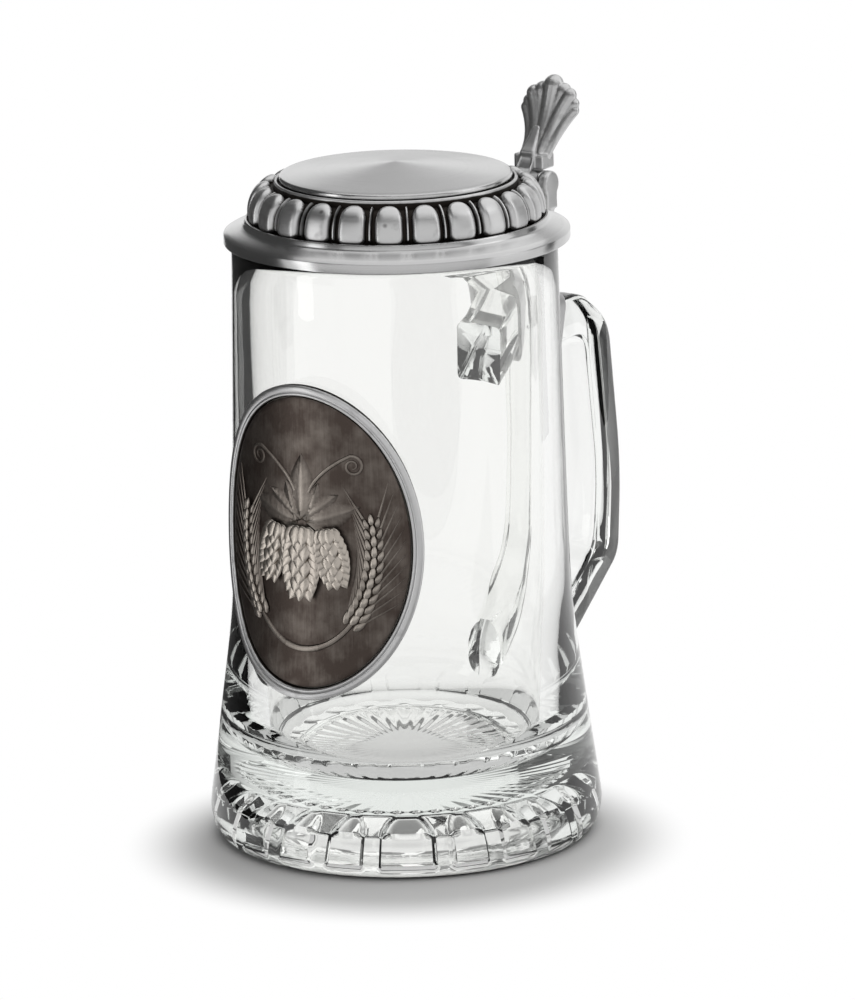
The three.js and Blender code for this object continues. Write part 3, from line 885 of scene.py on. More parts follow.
class MUG_OT_disc(bpy.types.Operator):
    """Makes the turned disc set into the top of the lid"""
    bl_idname = "mug.disc"
    bl_label = "Disc"

    def execute(self, context):
        settings = context.scene.mug
        size = settings.lid
        low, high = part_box("lid_disc")
        rim_top = high.z - size.disc_cone
        edge = 0.7 * MM
        under = size.disc_radius - edge
        middle = (0, high.z - size.disc_thickness)
        profile = [middle, *line(middle, (under, low.z), 3)]
        profile += arc((under, low.z + edge), (edge, edge), -90, 0, 5)[1:]
        profile += arc((under, rim_top - edge), (edge, edge), 0, 84, 6)
        profile += line((under, rim_top), (0, high.z), 16)
        mesh = mesh_of(turned(profile, 192, LID_Y), "lid_disc_turned")
        put("lid_disc_turned", mesh, [bpy.data.materials["turned_pewter"]], "lid", ["lid_disc"])
        return {"FINISHED"}


# Hinge

def spun_on_pin(profile):
    """A closed section of (radius, x) pairs spun about the hinge pin."""
    bm = bmesh.new()
    chain = chained(bm, [(x, PIN.y, PIN.z + r) for r, x in profile], closed=True)
    bmesh.ops.spin(bm, geom=chain, cent=PIN, axis=(1, 0, 0), angle=math.tau, steps=48, use_merge=True)
    bmesh.ops.remove_doubles(bm, verts=bm.verts, dist=WELD)
    bmesh.ops.recalc_face_normals(bm, faces=bm.faces)
    return mesh_of(bm, "spun")


def box_form(bm, low, high, edge):
    """A block between two corners with rounded edges."""
    middle = [(a + b) / 2 for a, b in zip(low, high)]
    extent = [b - a for a, b in zip(low, high)]
    place = Matrix.Translation(middle) @ Matrix.Diagonal((*extent, 1))
    verts = bmesh.ops.create_cube(bm, size=1, matrix=place)["verts"]
    bevel(bm, list({e for v in verts for e in v.link_edges}), edge, 2)


class MUG_OT_hinge_arm(bpy.types.Operator):
    """Makes the bar that carries the knuckle from the back of the lid"""
    bl_idname = "mug.hinge_arm"
    bl_label = "Hinge arm"

    def execute(self, context):
        settings = context.scene.mug
        size = settings.hinge
        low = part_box("hinge_arm")[0]
        half = size.knuckle_width / 2
        top = PIN.z + size.knuckle_radius
        edge_y = LID_Y + settings.lid.flange_radius
        slope = settings.lid.cone_rise / (settings.lid.flange_radius - settings.lid.lobe_radius)
        gap = 0.3 * MM
        band_top = LID_LOW.z + settings.lid.flange_band

        def over_cone(y):
            return band_top + slope * (edge_y - y) + gap

        end_y = low.y + 0.2 * MM
        root_y = PIN.y - size.pin_hole - 0.6 * MM
        outline = eased([
            (root_y, PIN.z - size.knuckle_radius * 0.7, 0),
            (root_y, top, 0),
            (end_y + 4 * MM, top + 0.4 * MM, 3 * MM),
            (end_y, top + 0.9 * MM, 1.2 * MM),
            (end_y, over_cone(end_y), 0),
            (edge_y + gap, over_cone(edge_y), 0),
            (edge_y + gap, LID_LOW.z + gap, 0),
        ], 4)
        bm = slab(outline, half)
        bevel(bm, long_edges(bm, half), 0.9 * MM, 3)
        edge = 0.4 * MM
        ring = [
            (size.pin_hole, -half), (size.knuckle_radius - edge, -half), (size.knuckle_radius, edge - half),
            (size.knuckle_radius, half - edge), (size.knuckle_radius - edge, half), (size.pin_hole, half)]
        bm.from_mesh(spun_on_pin(ring))
        mesh = mesh_of(cast(bm, size.grain, 2), "hinge_arm_cast")
        put_casting("hinge_arm_cast", mesh, "lid", "hinge_arm")
        pin = frame["nodes"]["hinge_pin"]
        pin.data.materials.clear()
        pin.data.materials.append(drawn_steel(settings.finish))
        return {"FINISHED"}


def fan_form(size):
    """The palmette before it leans: ribs that spread to round tips, with webs set back between them."""
    half_width = 7.3 * MM
    neck_half = 3.2 * MM
    root_radius = 1.5 * MM
    web_back = 0.6 * MM
    flatness = 0.72
    steps = 14
    bm = bmesh.new()
    places = 2 * size.fan_ribs - 1
    for i in range(places):
        side = 2 * i / (places - 1) - 1
        far = abs(side)
        web = i % 2 == 1
        neck = neck_half * far
        tip_x = half_width * (1 - (1 - far) ** 2)
        tip_z = size.fan_length - (2.7 + 3.5 * far + 2.4 * far ** 2) * MM
        tip = (2.9 - 1.9 * far + 0.6 * far ** 2) * MM
        if web:
            tip_z *= 0.985
            tip *= 0.95
        points = []
        radii = []
        for k in range(steps + 1):
            s = k / steps
            x = math.copysign(neck + (tip_x - neck) * s ** 2.1, side) if far > 0 else 0
            swelling = 2.6 * MM * (1 - far ** 2) * (0.45 + 0.55 * s)
            hollow = 1.6 * MM * math.sin(math.pi * s) * (1 - 0.5 * far)
            points.append(Vector((x, (web_back if web else 0) - (swelling - hollow), tip_z * s)))
            radii.append(root_radius + (tip - root_radius) * s ** 1.2)
        tube(bm, points, radii, 14)
        ball(bm, points[-1], [radii[-1]] * 3, None, 16, 10)
    bmesh.ops.scale(bm, verts=bm.verts, vec=(1, flatness, 1))
    return bm


class MUG_OT_thumb_lift(bpy.types.Operator):
    """Makes the ribbed palmette that the thumb presses, its square block, and the ribbon that runs down it"""
    bl_idname = "mug.thumb_lift"
    bl_label = "Thumb lift"

    def execute(self, context):
        settings = context.scene.mug
        size = settings.hinge
        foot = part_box("thumb_lift")[0].z
        top = foot + size.block_height
        middle = PIN.y + 1.1 * MM
        face = middle - size.block_depth / 2
        half = size.block_width / 2
        bm = bmesh.new()
        box_form(bm, (-half, face, foot), (half, middle + size.block_depth / 2, top), 0.35 * MM)
        fan = fan_form(size)
        lean = Matrix.Rotation(-size.fan_lean, 4, "X")
        place = Matrix.Translation((0, middle + 0.4 * MM, top - 0.8 * MM)) @ lean
        bmesh.ops.transform(fan, verts=fan.verts, matrix=place)
        bm.from_mesh(mesh_of(fan, "fan"))
        ribbon_half = 2.2 * MM
        ribbon = slab(eased([
            (face + 4.4 * MM, top + 7.0 * MM, 0),
            (face + 0.9 * MM, top + 2.6 * MM, 2 * MM),
            (face - 0.9 * MM, top + 0.7 * MM, 0.8 * MM),
            (face - 0.5 * MM, top - 0.5 * MM, 0.5 * MM),
            (face - 1.1 * MM, top - 2.0 * MM, 1.2 * MM),
            (face - 2.0 * MM, foot + 0.3 * MM, 1.2 * MM),
            (face - 3.8 * MM, foot - 0.5 * MM, 0.8 * MM),
            (face - 3.8 * MM, foot - 1.0 * MM, 0),
            (face + 0.8 * MM, foot + 0.2 * MM, 0),
            (face + 1.2 * MM, top, 0),
            (face + 4.6 * MM, top + 6.4 * MM, 0)], 5), ribbon_half)
        bevel(ribbon, long_edges(ribbon, ribbon_half), 0.6 * MM, 3)
        for vert in ribbon.verts:
            vert.co.x *= 1 - 0.5 * smooth_step(top + 0.5 * MM, top + 6 * MM, vert.co.z)
        bm.from_mesh(mesh_of(ribbon, "ribbon"))
        mesh = mesh_of(cast(bm, size.grain * 0.8, 5), "thumb_lift_cast")
        put_casting("thumb_lift_cast", mesh, "lid", "thumb_lift")
        return {"FINISHED"}


def arm_section(y):
    """Heights of the top and underside of the glass arm at a distance from the mug's middle line."""
    out = y - bpy.context.scene.mug.glass.rim_radius
    # Nearer the wall than these, both fall away at a slope
    top_start = 12 * MM
    top_slope = 4.3 / 15
    under_start = 18 * MM
    under_slope = 7.9 / 20.2
    top = GLASS_HIGH.z - ARM_TOP * MM - max(0, top_start - out) * top_slope
    under = GLASS_HIGH.z - ARM_UNDER * MM - max(0, under_start - out) * under_slope
    return top, under


class MUG_OT_strap(bpy.types.Operator):
    """Makes the two halves of the strap: collar round the glass arm, post and ears"""
    bl_idname = "mug.strap"
    bl_label = "Strap"

    def execute(self, context):
        settings = context.scene.mug
        size = settings.hinge
        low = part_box("strap_left")[0]
        near = low.y - MUG_Y
        far = near + size.collar_length
        gap = 0.3 * MM
        wall = size.collar_wall
        half = settings.glass.handle_width / 2 + gap
        bm = bmesh.new()
        loops = []
        middle = (near + far) / 2
        for grow, end in ((0, near), (wall, near), (wall, far), (0, far)):
            top, under = arm_section(end)
            rounding = settings.glass.handle_edge + gap + grow
            outline = eased([
                (-half - grow, under - gap - grow, rounding), (half + grow, under - gap - grow, rounding),
                (half + grow, top + gap + grow, rounding), (-half - grow, top + gap + grow, rounding)], 8)
            points = []
            for x, z in outline:
                low_part = min(1, max(0, (top - 1 * MM - z) / (top - 1 * MM - under)))
                points.append((x, MUG_Y + middle + (end - middle) * (1 - 0.7 * low_part ** 1.6), z))
            loops.append([e for e in chained(bm, points, True) if isinstance(e, bmesh.types.BMEdge)])
        for first, second in zip(loops, loops[1:] + loops[:1]):
            bmesh.ops.bridge_loops(bm, edges=first + second)
        bmesh.ops.recalc_face_normals(bm, faces=bm.faces)
        ear_inner = size.knuckle_width / 2 + size.ear_gap
        ear_outer = ear_inner + size.ear_thickness
        neck_z = PIN.z - size.knuckle_radius - 1 * MM
        neck = 2.1 * MM
        near_top = arm_section(near)[0] + gap + wall
        far_top = arm_section(far)[0] + gap + wall
        post = slab(eased([
            (MUG_Y + near + 0.5 * MM, near_top - 1 * MM, 0),
            (MUG_Y + far - 4.6 * MM, far_top + 2.5 * MM, 3 * MM),
            (PIN.y - neck, neck_z, 3 * MM),
            (PIN.y - neck * 0.6, neck_z + 1.5 * MM, 0),
            (PIN.y + neck * 0.6, neck_z + 1.5 * MM, 0),
            (PIN.y + neck, neck_z, 1 * MM),
            (PIN.y + neck + 0.8 * MM, neck_z - 4 * MM, 3 * MM),
            (MUG_Y + far - 0.3 * MM, far_top - 1 * MM, 0)], 5), ear_outer)
        bevel(post, long_edges(post, ear_outer), 1.0 * MM, 3)
        for vert in post.verts:
            above_collar = smooth_step(far_top, far_top + 7 * MM, vert.co.z)
            below_neck = smooth_step(neck_z, neck_z - 5 * MM, vert.co.z)
            waist = above_collar * below_neck
            vert.co.x *= 1 - 0.22 * waist
        bm.from_mesh(mesh_of(post, "post"))
        slot_low = neck_z + 0.6 * MM
        ear_x = (ear_inner + ear_outer) / 2
        for side in (-1, 1):
            blind = side * (ear_outer - size.ear_blind)
            edge = 0.5 * MM
            bm.from_mesh(spun_on_pin([
                (0, blind), (size.pin_hole, blind), (size.pin_hole, side * ear_inner),
                (size.knuckle_radius, side * ear_inner), (size.knuckle_radius, side * (ear_outer - edge)),
                (size.knuckle_radius - edge, side * ear_outer), (0, side * (ear_outer + 0.1 * MM))]))
            ear_half = size.ear_thickness / 2
            cheek = slab(eased([
                (PIN.y - 1.2 * neck, neck_z - 2 * MM, 0),
                (PIN.y - 1.1 * neck, slot_low, 1.5 * MM),
                (PIN.y - 1.2 * neck, PIN.z - 2.2 * MM, 0),
                (PIN.y + 1.2 * neck, PIN.z - 2.2 * MM, 0),
                (PIN.y + 1.1 * neck, slot_low, 1.5 * MM),
                (PIN.y + 1.2 * neck, neck_z - 2 * MM, 0)], 4), ear_half)
            bevel(cheek, long_edges(cheek, ear_half), 0.4 * MM, 2)
            bmesh.ops.translate(cheek, verts=cheek.verts, vec=(side * ear_x, 0, 0))
            bm.from_mesh(mesh_of(cheek, "cheek"))
        whole = mesh_of(cast(bm, size.grain, 2), "strap")
        for name, side in (("strap_left", -1), ("strap_right", 1)):
            part = bmesh.new()
            part.from_mesh(whole)
            keep_side(part, (side * size.seam_gap / 2, 0, 0), (-side, 0, 0))
            put_casting(name + "_cast", mesh_of(part, name), "mug", name)
        return {"FINISHED"}


# Plaque

def on_wall(point, size, glass):
    """Lays a point on the wall: x runs round it, y up it and z out of it."""
    z = size.height + point.y
    angle = size.turn + point.x / wall_radius(glass, size.height)
    radius = wall_radius(glass, z) + size.lift + point.z
    return Vector((radius * math.sin(angle), MUG_Y - radius * math.cos(angle), z))


def oval_spun(section, size, steps, closed):
    """A section of (reach, inset, height) spun to an oval, lying flat."""
    bm = bmesh.new()
    layer = bm.verts.layers.int.new("order")
    chain = chained(bm, [(0, -1 - i, 0) for i in range(len(section))], closed)
    for index, vert in enumerate(chain[:len(section)]):
        vert[layer] = index
    bmesh.ops.spin(
        bm, geom=chain, cent=(0, 0, 0), axis=(0, 0, 1), angle=math.tau, steps=steps, use_merge=True)
    for vert in bm.verts:
        reach, inset, height = section[vert[layer]]
        angle = math.atan2(vert.co.x, -vert.co.y)
        vert.co = (
            reach * (size.half_width - inset) * math.sin(angle),
            -reach * (size.half_height - inset) * math.cos(angle),
            height)
    poles = [v for v in bm.verts if section[v[layer]][0] == 0]
    bmesh.ops.remove_doubles(bm, verts=poles, dist=WELD)
    bmesh.ops.recalc_face_normals(bm, faces=bm.faces)
    return bm


def barley_ear(bm, mirror):
    """An ear of barley on its stem, up one side of the oval: three rows of grains with awns."""

    def along(degrees):
        angle = math.radians(degrees)
        return Vector((mirror * 18.5 * MM * math.sin(angle), -27 * MM * math.cos(angle), 0))

    stem_points = 30
    stem = [along(-14 + 4 * k) + Vector((0, 0, 0.3 * MM)) for k in range(stem_points)]
    tube(bm, stem, [(0.85 - 0.012 * k) * MM for k in range(stem_points)], 8)
    stations = 11
    for k in range(stations):
        degrees = 44 + 58 * k / (stations - 1)
        here = along(degrees)
        ahead = (along(degrees + 1) - along(degrees - 1)).normalized()
        across = Vector((ahead.y, -ahead.x, 0))
        shrink = 1 - 0.3 * k / (stations - 1)
        for side in (-1, 1, 0):
            aim = (ahead + across * side * 0.34).normalized()
            middle = here + across * side * 1.75 * MM * shrink + aim * (0.6 if side else 1.6) * MM
            middle.z = (0.7 if side else 1.3) * MM
            spin = aim.to_track_quat("Y", "Z").to_matrix().to_4x4()
            grain = ball(bm, middle, (1.05 * MM * shrink, 2.1 * MM * shrink, 0.8 * MM), spin, 10, 8)
            for vert in grain:
                tip = (vert.co - middle).dot(aim)
                vert.co -= (vert.co - middle - aim * tip) * max(0, tip) / (3.6 * MM)
            if side:
                start = middle + aim * 1.5 * MM
                end = start + (aim + across * side * 0.1).normalized() * (11 - 0.2 * k) * MM
                end.z = 0.3 * MM
                tube(bm, [start, (start + end) / 2, end], [0.3 * MM, 0.24 * MM, 0.12 * MM], 5)


def hop_cone(bm, top, tilt, scale):
    """A hop cone hanging from top: rows of pointed bracts, each row laid over the one below it."""
    rows = 8
    turn_to = Matrix.Translation(top) @ Matrix.Rotation(tilt, 4, "Z")
    for row in range(rows):
        s = 1 - row / (rows - 1)
        half = scale * 5.2 * MM * math.sin(math.pi * (0.2 + 0.68 * s)) ** 0.7
        bracts = 4 if row % 2 else 3
        for k in range(bracts):
            across = (2 * k / (bracts - 1) - 1) * 0.74
            dome = math.sqrt(1 - across * across)
            height = (0.3 + 1.5 * dome + 0.5 * (1 - s)) * MM
            here = Vector((half * across, -scale * 14 * MM * s - 1.6 * MM, height))
            spin = Matrix.Rotation(across * 0.5, 4, "Z") @ Matrix.Rotation(math.radians(-13), 4, "X")
            lump = ball(bm, (0, 0, 0), (scale * 1.9 * MM, scale * 2.7 * MM, 0.6 * MM), None, 12, 10)
            for vert in lump:
                low = max(0, -vert.co.y / (scale * 2.7 * MM))
                vert.co.x *= 1 - 0.8 * low ** 1.6
            bmesh.ops.transform(bm, verts=lump, matrix=turn_to @ Matrix.Translation(here) @ spin)


def leaf_blade(bm, root, tilt, reach, width):
    """One pointed blade of a leaf, with a toothed edge, a raised middle vein and side veins."""
    grid = bmesh.ops.create_grid(bm, x_segments=10, y_segments=36, size=1)["verts"]
    for vert in grid:
        side = vert.co.x
        t = (vert.co.y + 1) / 2
        tooth = 1 + 0.13 * ((t * 8) % 1 - 0.5) * abs(side)
        half = width * (math.sin(math.pi * t ** 0.72) ** 0.85 + 0.02) * tooth
        vein = math.exp(-(side / 0.13) ** 2) * (1 - 0.6 * t)
        ribs = max(0, math.cos(math.tau * (t * 8 - 1.6 * abs(side)))) ** 3 * abs(side) * (1 - abs(side))
        height = 0.15 + 0.75 * (1 - side ** 2) * (1 - 0.5 * t) + 0.4 * vein + 0.55 * ribs
        vert.co = (side * half, reach * t, height * MM)
    faces = list({f for v in grid for f in v.link_faces})
    walled = bmesh.ops.solidify(bm, geom=faces + grid, thickness=0.5 * MM)["geom"]
    verts = list({v for v in walled if isinstance(v, bmesh.types.BMVert)} | set(grid))
    bmesh.ops.transform(bm, verts=verts, matrix=Matrix.Translation(root) @ Matrix.Rotation(tilt, 4, "Z"))


def hop_leaf(bm, root, tilt, reach):
    """A leaf of three blades spread from one root."""
    for spread, part in ((0.95, 0.72), (-0.95, 0.72), (0.0, 1.0)):
        leaf_blade(bm, root, tilt + spread, reach * part, reach * 0.27 * part)


def tendril(bm, mirror):
    """A thin shoot that rises from the leaves and ends in a curl."""
    points = []
    for k in range(12):
        s = k / 11
        x = mirror * (2 + 11 * s ** 1.3) * MM
        y = (13 + 13 * s - 3 * s * s) * MM
        points.append(Vector((x, y, 0.35 * MM)))
    middle = points[-1] + Vector((mirror * 0.6 * MM, -2.6 * MM, 0))
    start = points[-1] - middle
    for k in range(1, 26):
        s = k / 25
        curl = Matrix.Rotation(-mirror * s * math.radians(560), 3, "Z")
        points.append(middle + curl @ start * (1 - 0.78 * s))
    tube(bm, points, [(0.55 - 0.009 * k) * MM for k in range(len(points))], 8)


def sprig(size):
    """The relief on the plate: hop cones and leaves, two tendrils, and an ear of barley up each side."""
    bm = bmesh.new()
    for mirror in (-1, 1):
        barley_ear(bm, mirror)
        tendril(bm, mirror)
    for tilt, where, reach in ((1.25, (-1.5, 5.5), 14.5), (-1.25, (1.5, 5.5), 14.5), (0.0, (0, 6), 16.5)):
        hop_leaf(bm, Vector((where[0] * MM, where[1] * MM, 0)), tilt, reach * MM)
    for top, tilt, scale in (((-6.8, 4.0), -0.2, 0.82), ((6.8, 4.0), 0.2, 0.82), ((0, 3.5), 0.0, 1.0)):
        hop_cone(bm, Vector((top[0] * MM, top[1] * MM, 0.3 * MM)), tilt, scale)
    bmesh.ops.scale(bm, verts=bm.verts, vec=(1, 1, size.relief))
    return bm


class MUG_OT_plaque(bpy.types.Operator):
    """Makes the plaque: beaded rim, and a plate with hops and barley in relief"""
    bl_idname = "mug.plaque"
    bl_label = "Plaque"

    def execute(self, context):
        settings = context.scene.mug
        size = settings.plaque
        glass = settings.glass
        w = size.bezel_width
        h = size.bezel_height
        section = [(1, 0, 0), (1, 0, 0.45 * h)]
        section += [(1, 0.36 * w - x, z) for x, z in arc((0, 0.5 * h), (0.36 * w, 0.5 * h), 12, 168, 9)]
        section += [(1, 0.8 * w - x, z) for x, z in arc((0, 0.52 * h), (0.16 * w, 0.36 * h), 20, 168, 7)]
        section += [(1, w, 0.5 * h), (1, w, 0)]
        bezel = oval_spun(section, size, 160, True)
        # The rim is made darker on its low sides and in the dip between its beads
        darkening = [smooth_step(0.75 * h, 0.5 * h, v.co.z) for v in bezel.verts]
        for vert in bezel.verts:
            vert.co = on_wall(vert.co, size, glass)
        bmesh.ops.recalc_face_normals(bezel, faces=bezel.faces)
        mesh = mesh_of(bezel, "plaque_rim")
        write_point_value(mesh, "patina_and_shade", darkening)
        put_casting("plaque_rim", mesh, "mug", "plaque_bezel", 50)
        inset = w + 0.3 * MM
        rings = 40
        sheet = [(0, inset, 0), (1, inset, 0), (1, inset, 0.75 * size.plate), (0.985, inset, size.plate)]
        sheet += [(0.985 * (1 - i / rings), inset, size.plate) for i in range(1, rings + 1)]
        plate = oval_spun(sheet, size, 144, False)
        relief = sprig(size)
        for vert in relief.verts:
            vert.co.z += size.plate - 0.15 * MM
        plate.from_mesh(mesh_of(relief, "sprig"))
        crest = 2 * MM * size.relief
        heights = [max(0.0, min(1.0, (v.co.z - size.plate - 0.05 * MM) / crest)) for v in plate.verts]
        for vert in plate.verts:
            vert.co = on_wall(vert.co, size, glass)
        mesh = mesh_of(plate, "plaque_relief")
        write_point_value(mesh, "relief", heights)
        pewter = antique_pewter(settings.finish)
        put("plaque_relief", mesh, [pewter], "mug", ["plaque_plate"], 40)
        film = frame["nodes"]["plaque_bond"]
        film.data.materials.clear()
        film.data.materials.append(bonding_film(settings.finish))
        return {"FINISHED"}


# Stage

def seen_directly(tree):
    """1 for what the camera, a mirror or the glass looks at, 0 for light that falls on surfaces."""
    path = add(tree, "ShaderNodeLightPath").outputs
    mirrored = maths(tree, "MAXIMUM", path["Is Camera Ray"], path["Is Glossy Ray"])
    seen = maths(tree, "MAXIMUM", mirrored, path["Is Transmission Ray"])
    before_surfaces = maths(tree, "LESS_THAN", path["Diffuse Depth"], 0.5)
    return maths(tree, "MULTIPLY", seen, before_surfaces)


def flat_card(name, corners, material):
    """A flat stage card through four corners."""
    bm = bmesh.new()
    bm.faces.new([bm.verts.new(c) for c in corners])
    obj = bpy.data.objects.new(name, mesh_of(bm, name))
    obj.data.materials.append(material)
    bpy.context.scene.collection.objects.link(obj)
    return obj


def around(degrees, distance, height, view_turn):
    """A point of the stage, at an angle from the camera's own side of the mug, growing to the right."""
    angle = view_turn + math.radians(degrees)
    return Vector((distance * math.sin(angle), MUG_Y - distance * math.cos(angle), height))


def lamp(name, place, width, depth, watts):
    """A soft box that looks at the middle of the mug."""
    light = bpy.data.lights.new(name, "AREA")
    light.shape = "RECTANGLE"
    light.size = width
    light.size_y = depth
    light.energy = watts
    obj = bpy.data.objects.new(name, light)
    obj.location = place
    middle = Vector((0, MUG_Y, 90 * MM))
    obj.rotation_euler = (middle - place).to_track_quat("-Z", "Y").to_euler()
    obj.visible_camera = False
    bpy.context.scene.collection.objects.link(obj)


def painted_floor(stage):
    """Matt white paint: keeps the shadow by the mug, and further out is as white as the background."""
    material, tree = new_material("painted_floor")
    nearer = around(0, stage.shadow_shift, 0, stage.view_turn)
    centred = add(tree, "ShaderNodeMapping", {"Vector": object_place(tree), "Location": -nearer})
    distance = add(tree, "ShaderNodeVectorMath", {0: centred.outputs["Vector"]}, operation="LENGTH")
    reach = (stage.shadow_near, stage.shadow_far)
    away = remapped(tree, distance.outputs["Value"], reach, (0.0, 1.0), "SMOOTHSTEP")
    path = add(tree, "ShaderNodeLightPath")
    through_glass = maths(tree, "MULTIPLY", path.outputs["Is Transmission Ray"], 0.6)
    white = maths(tree, "MAXIMUM", away, through_glass)
    part = maths(tree, "MULTIPLY", white, seen_directly(tree))
    paint = add(tree, "ShaderNodeBsdfDiffuse", {"Color": stage.floor})
    glow = add(tree, "ShaderNodeEmission", {"Color": stage.backdrop, "Strength": 1.0})
    both = add(tree, "ShaderNodeMixShader", {0: part, 1: paint.outputs[0], 2: glow.outputs[0]})
    add(tree, "ShaderNodeOutputMaterial", {"Surface": both.outputs[0]})
    return material


def studio_world(stage):
    """Even light for surfaces; mirrors and glass see a white wall that fades upwards and forwards."""
    world = bpy.data.worlds.new("studio")
    world.use_nodes = True
    tree = world.node_tree
    tree.nodes.clear()
    ambient = add(tree, "ShaderNodeBackground", {"Color": stage.backdrop, "Strength": stage.ambient})
    direction = add(tree, "ShaderNodeTexCoord").outputs["Generated"]
    backwards = (-math.sin(stage.view_turn), math.cos(stage.view_turn), 0)
    behind = add(tree, "ShaderNodeVectorMath", {0: direction, 1: backwards}, operation="DOT_PRODUCT")
    path = add(tree, "ShaderNodeLightPath")
    front_level = remapped(tree, path.outputs["Is Transmission Ray"], (0.0, 1.0), (0.35, 0.08))
    wall = remapped(tree, behind.outputs["Value"], (0.1, 0.85), (front_level, 1.0), "SMOOTHSTEP")
    parts = add(tree, "ShaderNodeSeparateXYZ", {"Vector": direction})
    fade = remapped(tree, parts.outputs["Z"], (0.2, 0.65), (1.0, 0.28), "SMOOTHSTEP")
    level = maths(tree, "MULTIPLY", wall, fade)
    room = add(tree, "ShaderNodeBackground", {"Color": stage.backdrop, "Strength": level})
    both = add(tree, "ShaderNodeMixShader", {
        0: seen_directly(tree), 1: ambient.outputs[0], 2: room.outputs[0]})
    add(tree, "ShaderNodeOutputWorld", {"Surface": both.outputs[0]})
    return world


def dark_cloth(stage):
    """Dark cloth for metal and solid glass: a ray that has crossed both walls of the mug passes it."""
    material, tree = new_material("dark_cloth")
    cloth = add(tree, "ShaderNodeBsdfDiffuse", {"Color": stage.flag})
    clear = add(tree, "ShaderNodeBsdfTransparent")
    path = add(tree, "ShaderNodeLightPath")
    crossed = maths(tree, "GREATER_THAN", path.outputs["Transmission Depth"], 2.5)
    both = add(tree, "ShaderNodeMixShader", {0: crossed, 1: cloth.outputs[0], 2: clear.outputs[0]})
    add(tree, "ShaderNodeOutputMaterial", {"Surface": both.outputs[0]})
    return material


def even_card(name, tone, strength=1.0):
    """A card that shows one even brightness to mirrors."""
    material, tree = new_material(name)
    glow = add(tree, "ShaderNodeEmission", {"Color": tone, "Strength": strength})
    add(tree, "ShaderNodeOutputMaterial", {"Surface": glow.outputs[0]})
    return material


def set_cards(stage):
    """Sets up the cards that metal and glass reflect; the dark ones also show through solid glass."""
    dark = dark_cloth(stage)
    white = even_card("white_card", stage.card)
    grey = even_card("grey_card", stage.dim)
    lit = even_card("lit_card", stage.card, 2.5)
    # Angles of a card's two ends in degrees, distances of its low and high edge and its height in metres
    cards = [
        ("flag_left", (-78, -158), (0.33, 0.33), 0.50, dark),
        ("flag_left_foot", (-78, -158), (0.13, 0.33), 0.0, dark),
        ("flag_right", (112, 124), (0.5, 0.5), 0.30, dark),
        ("card_front", (-42, 50), (0.55, 0.55), 0.45, white),
        ("card_front_foot", (-54, 62), (0.12, 0.55), 0.0, grey),
        ("card_left_foot", (-57, -67), (0.15, 0.60), 0.0, lit)]
    low = 0.5 * MM
    for name, (start, end), (near, far), height, material in cards:
        corners = [
            around(start, near, low, stage.view_turn),
            around(end, near, low, stage.view_turn),
            around(end, far, low + height, stage.view_turn),
            around(start, far, low + height, stage.view_turn)]
        card = flat_card(name, corners, material)
        card.visible_camera = False
        card.visible_diffuse = False
        card.visible_shadow = False
        card.visible_transmission = material == dark


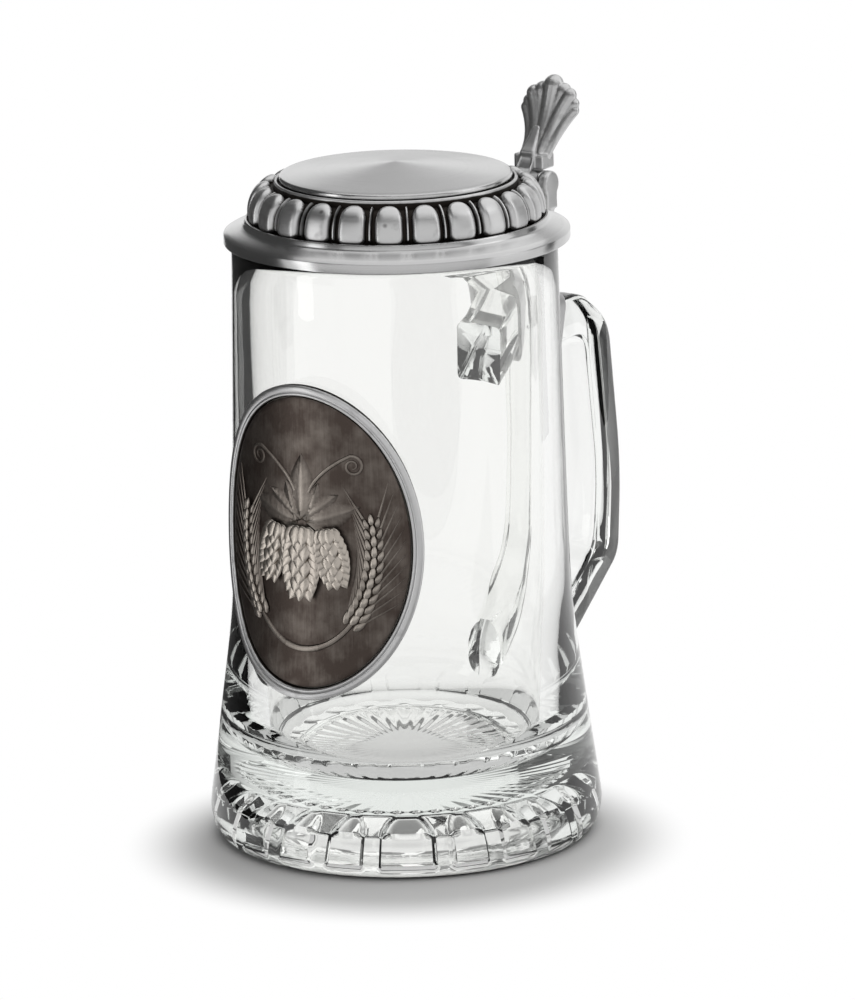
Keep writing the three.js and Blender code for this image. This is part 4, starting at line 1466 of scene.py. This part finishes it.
class MUG_OT_stage(bpy.types.Operator):
    """Sets the floor, the background, the lamps, the cards and the camera"""
    bl_idname = "mug.stage"
    bl_label = "Stage"

    def execute(self, context):
        scene = context.scene
        stage = scene.mug.stage
        scene.view_settings.view_transform = "Standard"
        scene.cycles.max_bounces = 24
        scene.cycles.transmission_bounces = 24
        scene.cycles.caustics_reflective = False
        scene.cycles.caustics_refractive = False
        scene.world = studio_world(stage)

        reach = 4.0
        low = -0.2 * MM
        corners = [(-reach, -reach, low), (reach, -reach, low), (reach, reach, low), (-reach, reach, low)]
        flat_card("floor", corners, painted_floor(stage))
        set_cards(stage)
        lamp("soft_box_top", around(120, 0.3, 1.2, stage.view_turn), 1.8, 1.8, 10)
        lamp("soft_box_left", around(-64, 0.7, 0.25, stage.view_turn), 0.16, 0.5, 0.4)
        lamp("soft_box_right", around(80, 1.2, 0.6, stage.view_turn), 0.8, 1.2, 2.5)

        camera = bpy.data.cameras.new("camera")
        camera.sensor_fit = "VERTICAL"
        camera.sensor_height = 24
        camera.lens = stage.focal * camera.sensor_height
        obj = bpy.data.objects.new("camera", camera)
        heading = Matrix.Rotation(stage.view_turn - stage.view_yaw, 4, "Z")
        pitch = Matrix.Rotation(math.pi / 2 - stage.view_pitch, 4, "X")
        roll = Matrix.Rotation(stage.view_roll, 4, "Z")
        stand = around(0, stage.view_distance, stage.view_height, stage.view_turn)
        obj.matrix_world = Matrix.Translation(stand) @ heading @ pitch @ roll
        scene.collection.objects.link(obj)
        scene.camera = obj
        return {"FINISHED"}


class MUG_PT_panel(bpy.types.Panel):
    """Lists the steps that build the mug"""
    bl_label = "Lidded beer mug"
    bl_idname = "MUG_PT_panel"
    bl_space_type = "VIEW_3D"
    bl_region_type = "UI"
    bl_category = "Mug"

    def draw(self, context):
        for operator in OPERATORS:
            self.layout.operator(operator.bl_idname)


OPERATORS = (
    MUG_OT_glass, MUG_OT_lid, MUG_OT_disc, MUG_OT_hinge_arm, MUG_OT_thumb_lift, MUG_OT_strap, MUG_OT_plaque,
    MUG_OT_stage)
SETTINGS = (
    GlassSettings, LidSettings, HingeSettings, PlaqueSettings, FinishSettings, StageSettings, MugSettings)


def register():
    """Adds the settings, the operators and the panel to Blender."""
    for cls in (*SETTINGS, *OPERATORS, MUG_PT_panel):
        bpy.utils.register_class(cls)
    bpy.types.Scene.mug = bpy.props.PointerProperty(type=MugSettings)


def unregister():
    """Takes them out again."""
    del bpy.types.Scene.mug
    for cls in reversed((*SETTINGS, *OPERATORS, MUG_PT_panel)):
        bpy.utils.unregister_class(cls)


def main():
    """Builds every piece in order."""
    register()
    bpy.ops.mug.glass()
    bpy.ops.mug.lid()
    bpy.ops.mug.disc()
    bpy.ops.mug.hinge_arm()
    bpy.ops.mug.thumb_lift()
    bpy.ops.mug.strap()
    bpy.ops.mug.plaque()
    bpy.ops.mug.stage()


if __name__ == "__main__":
    main()
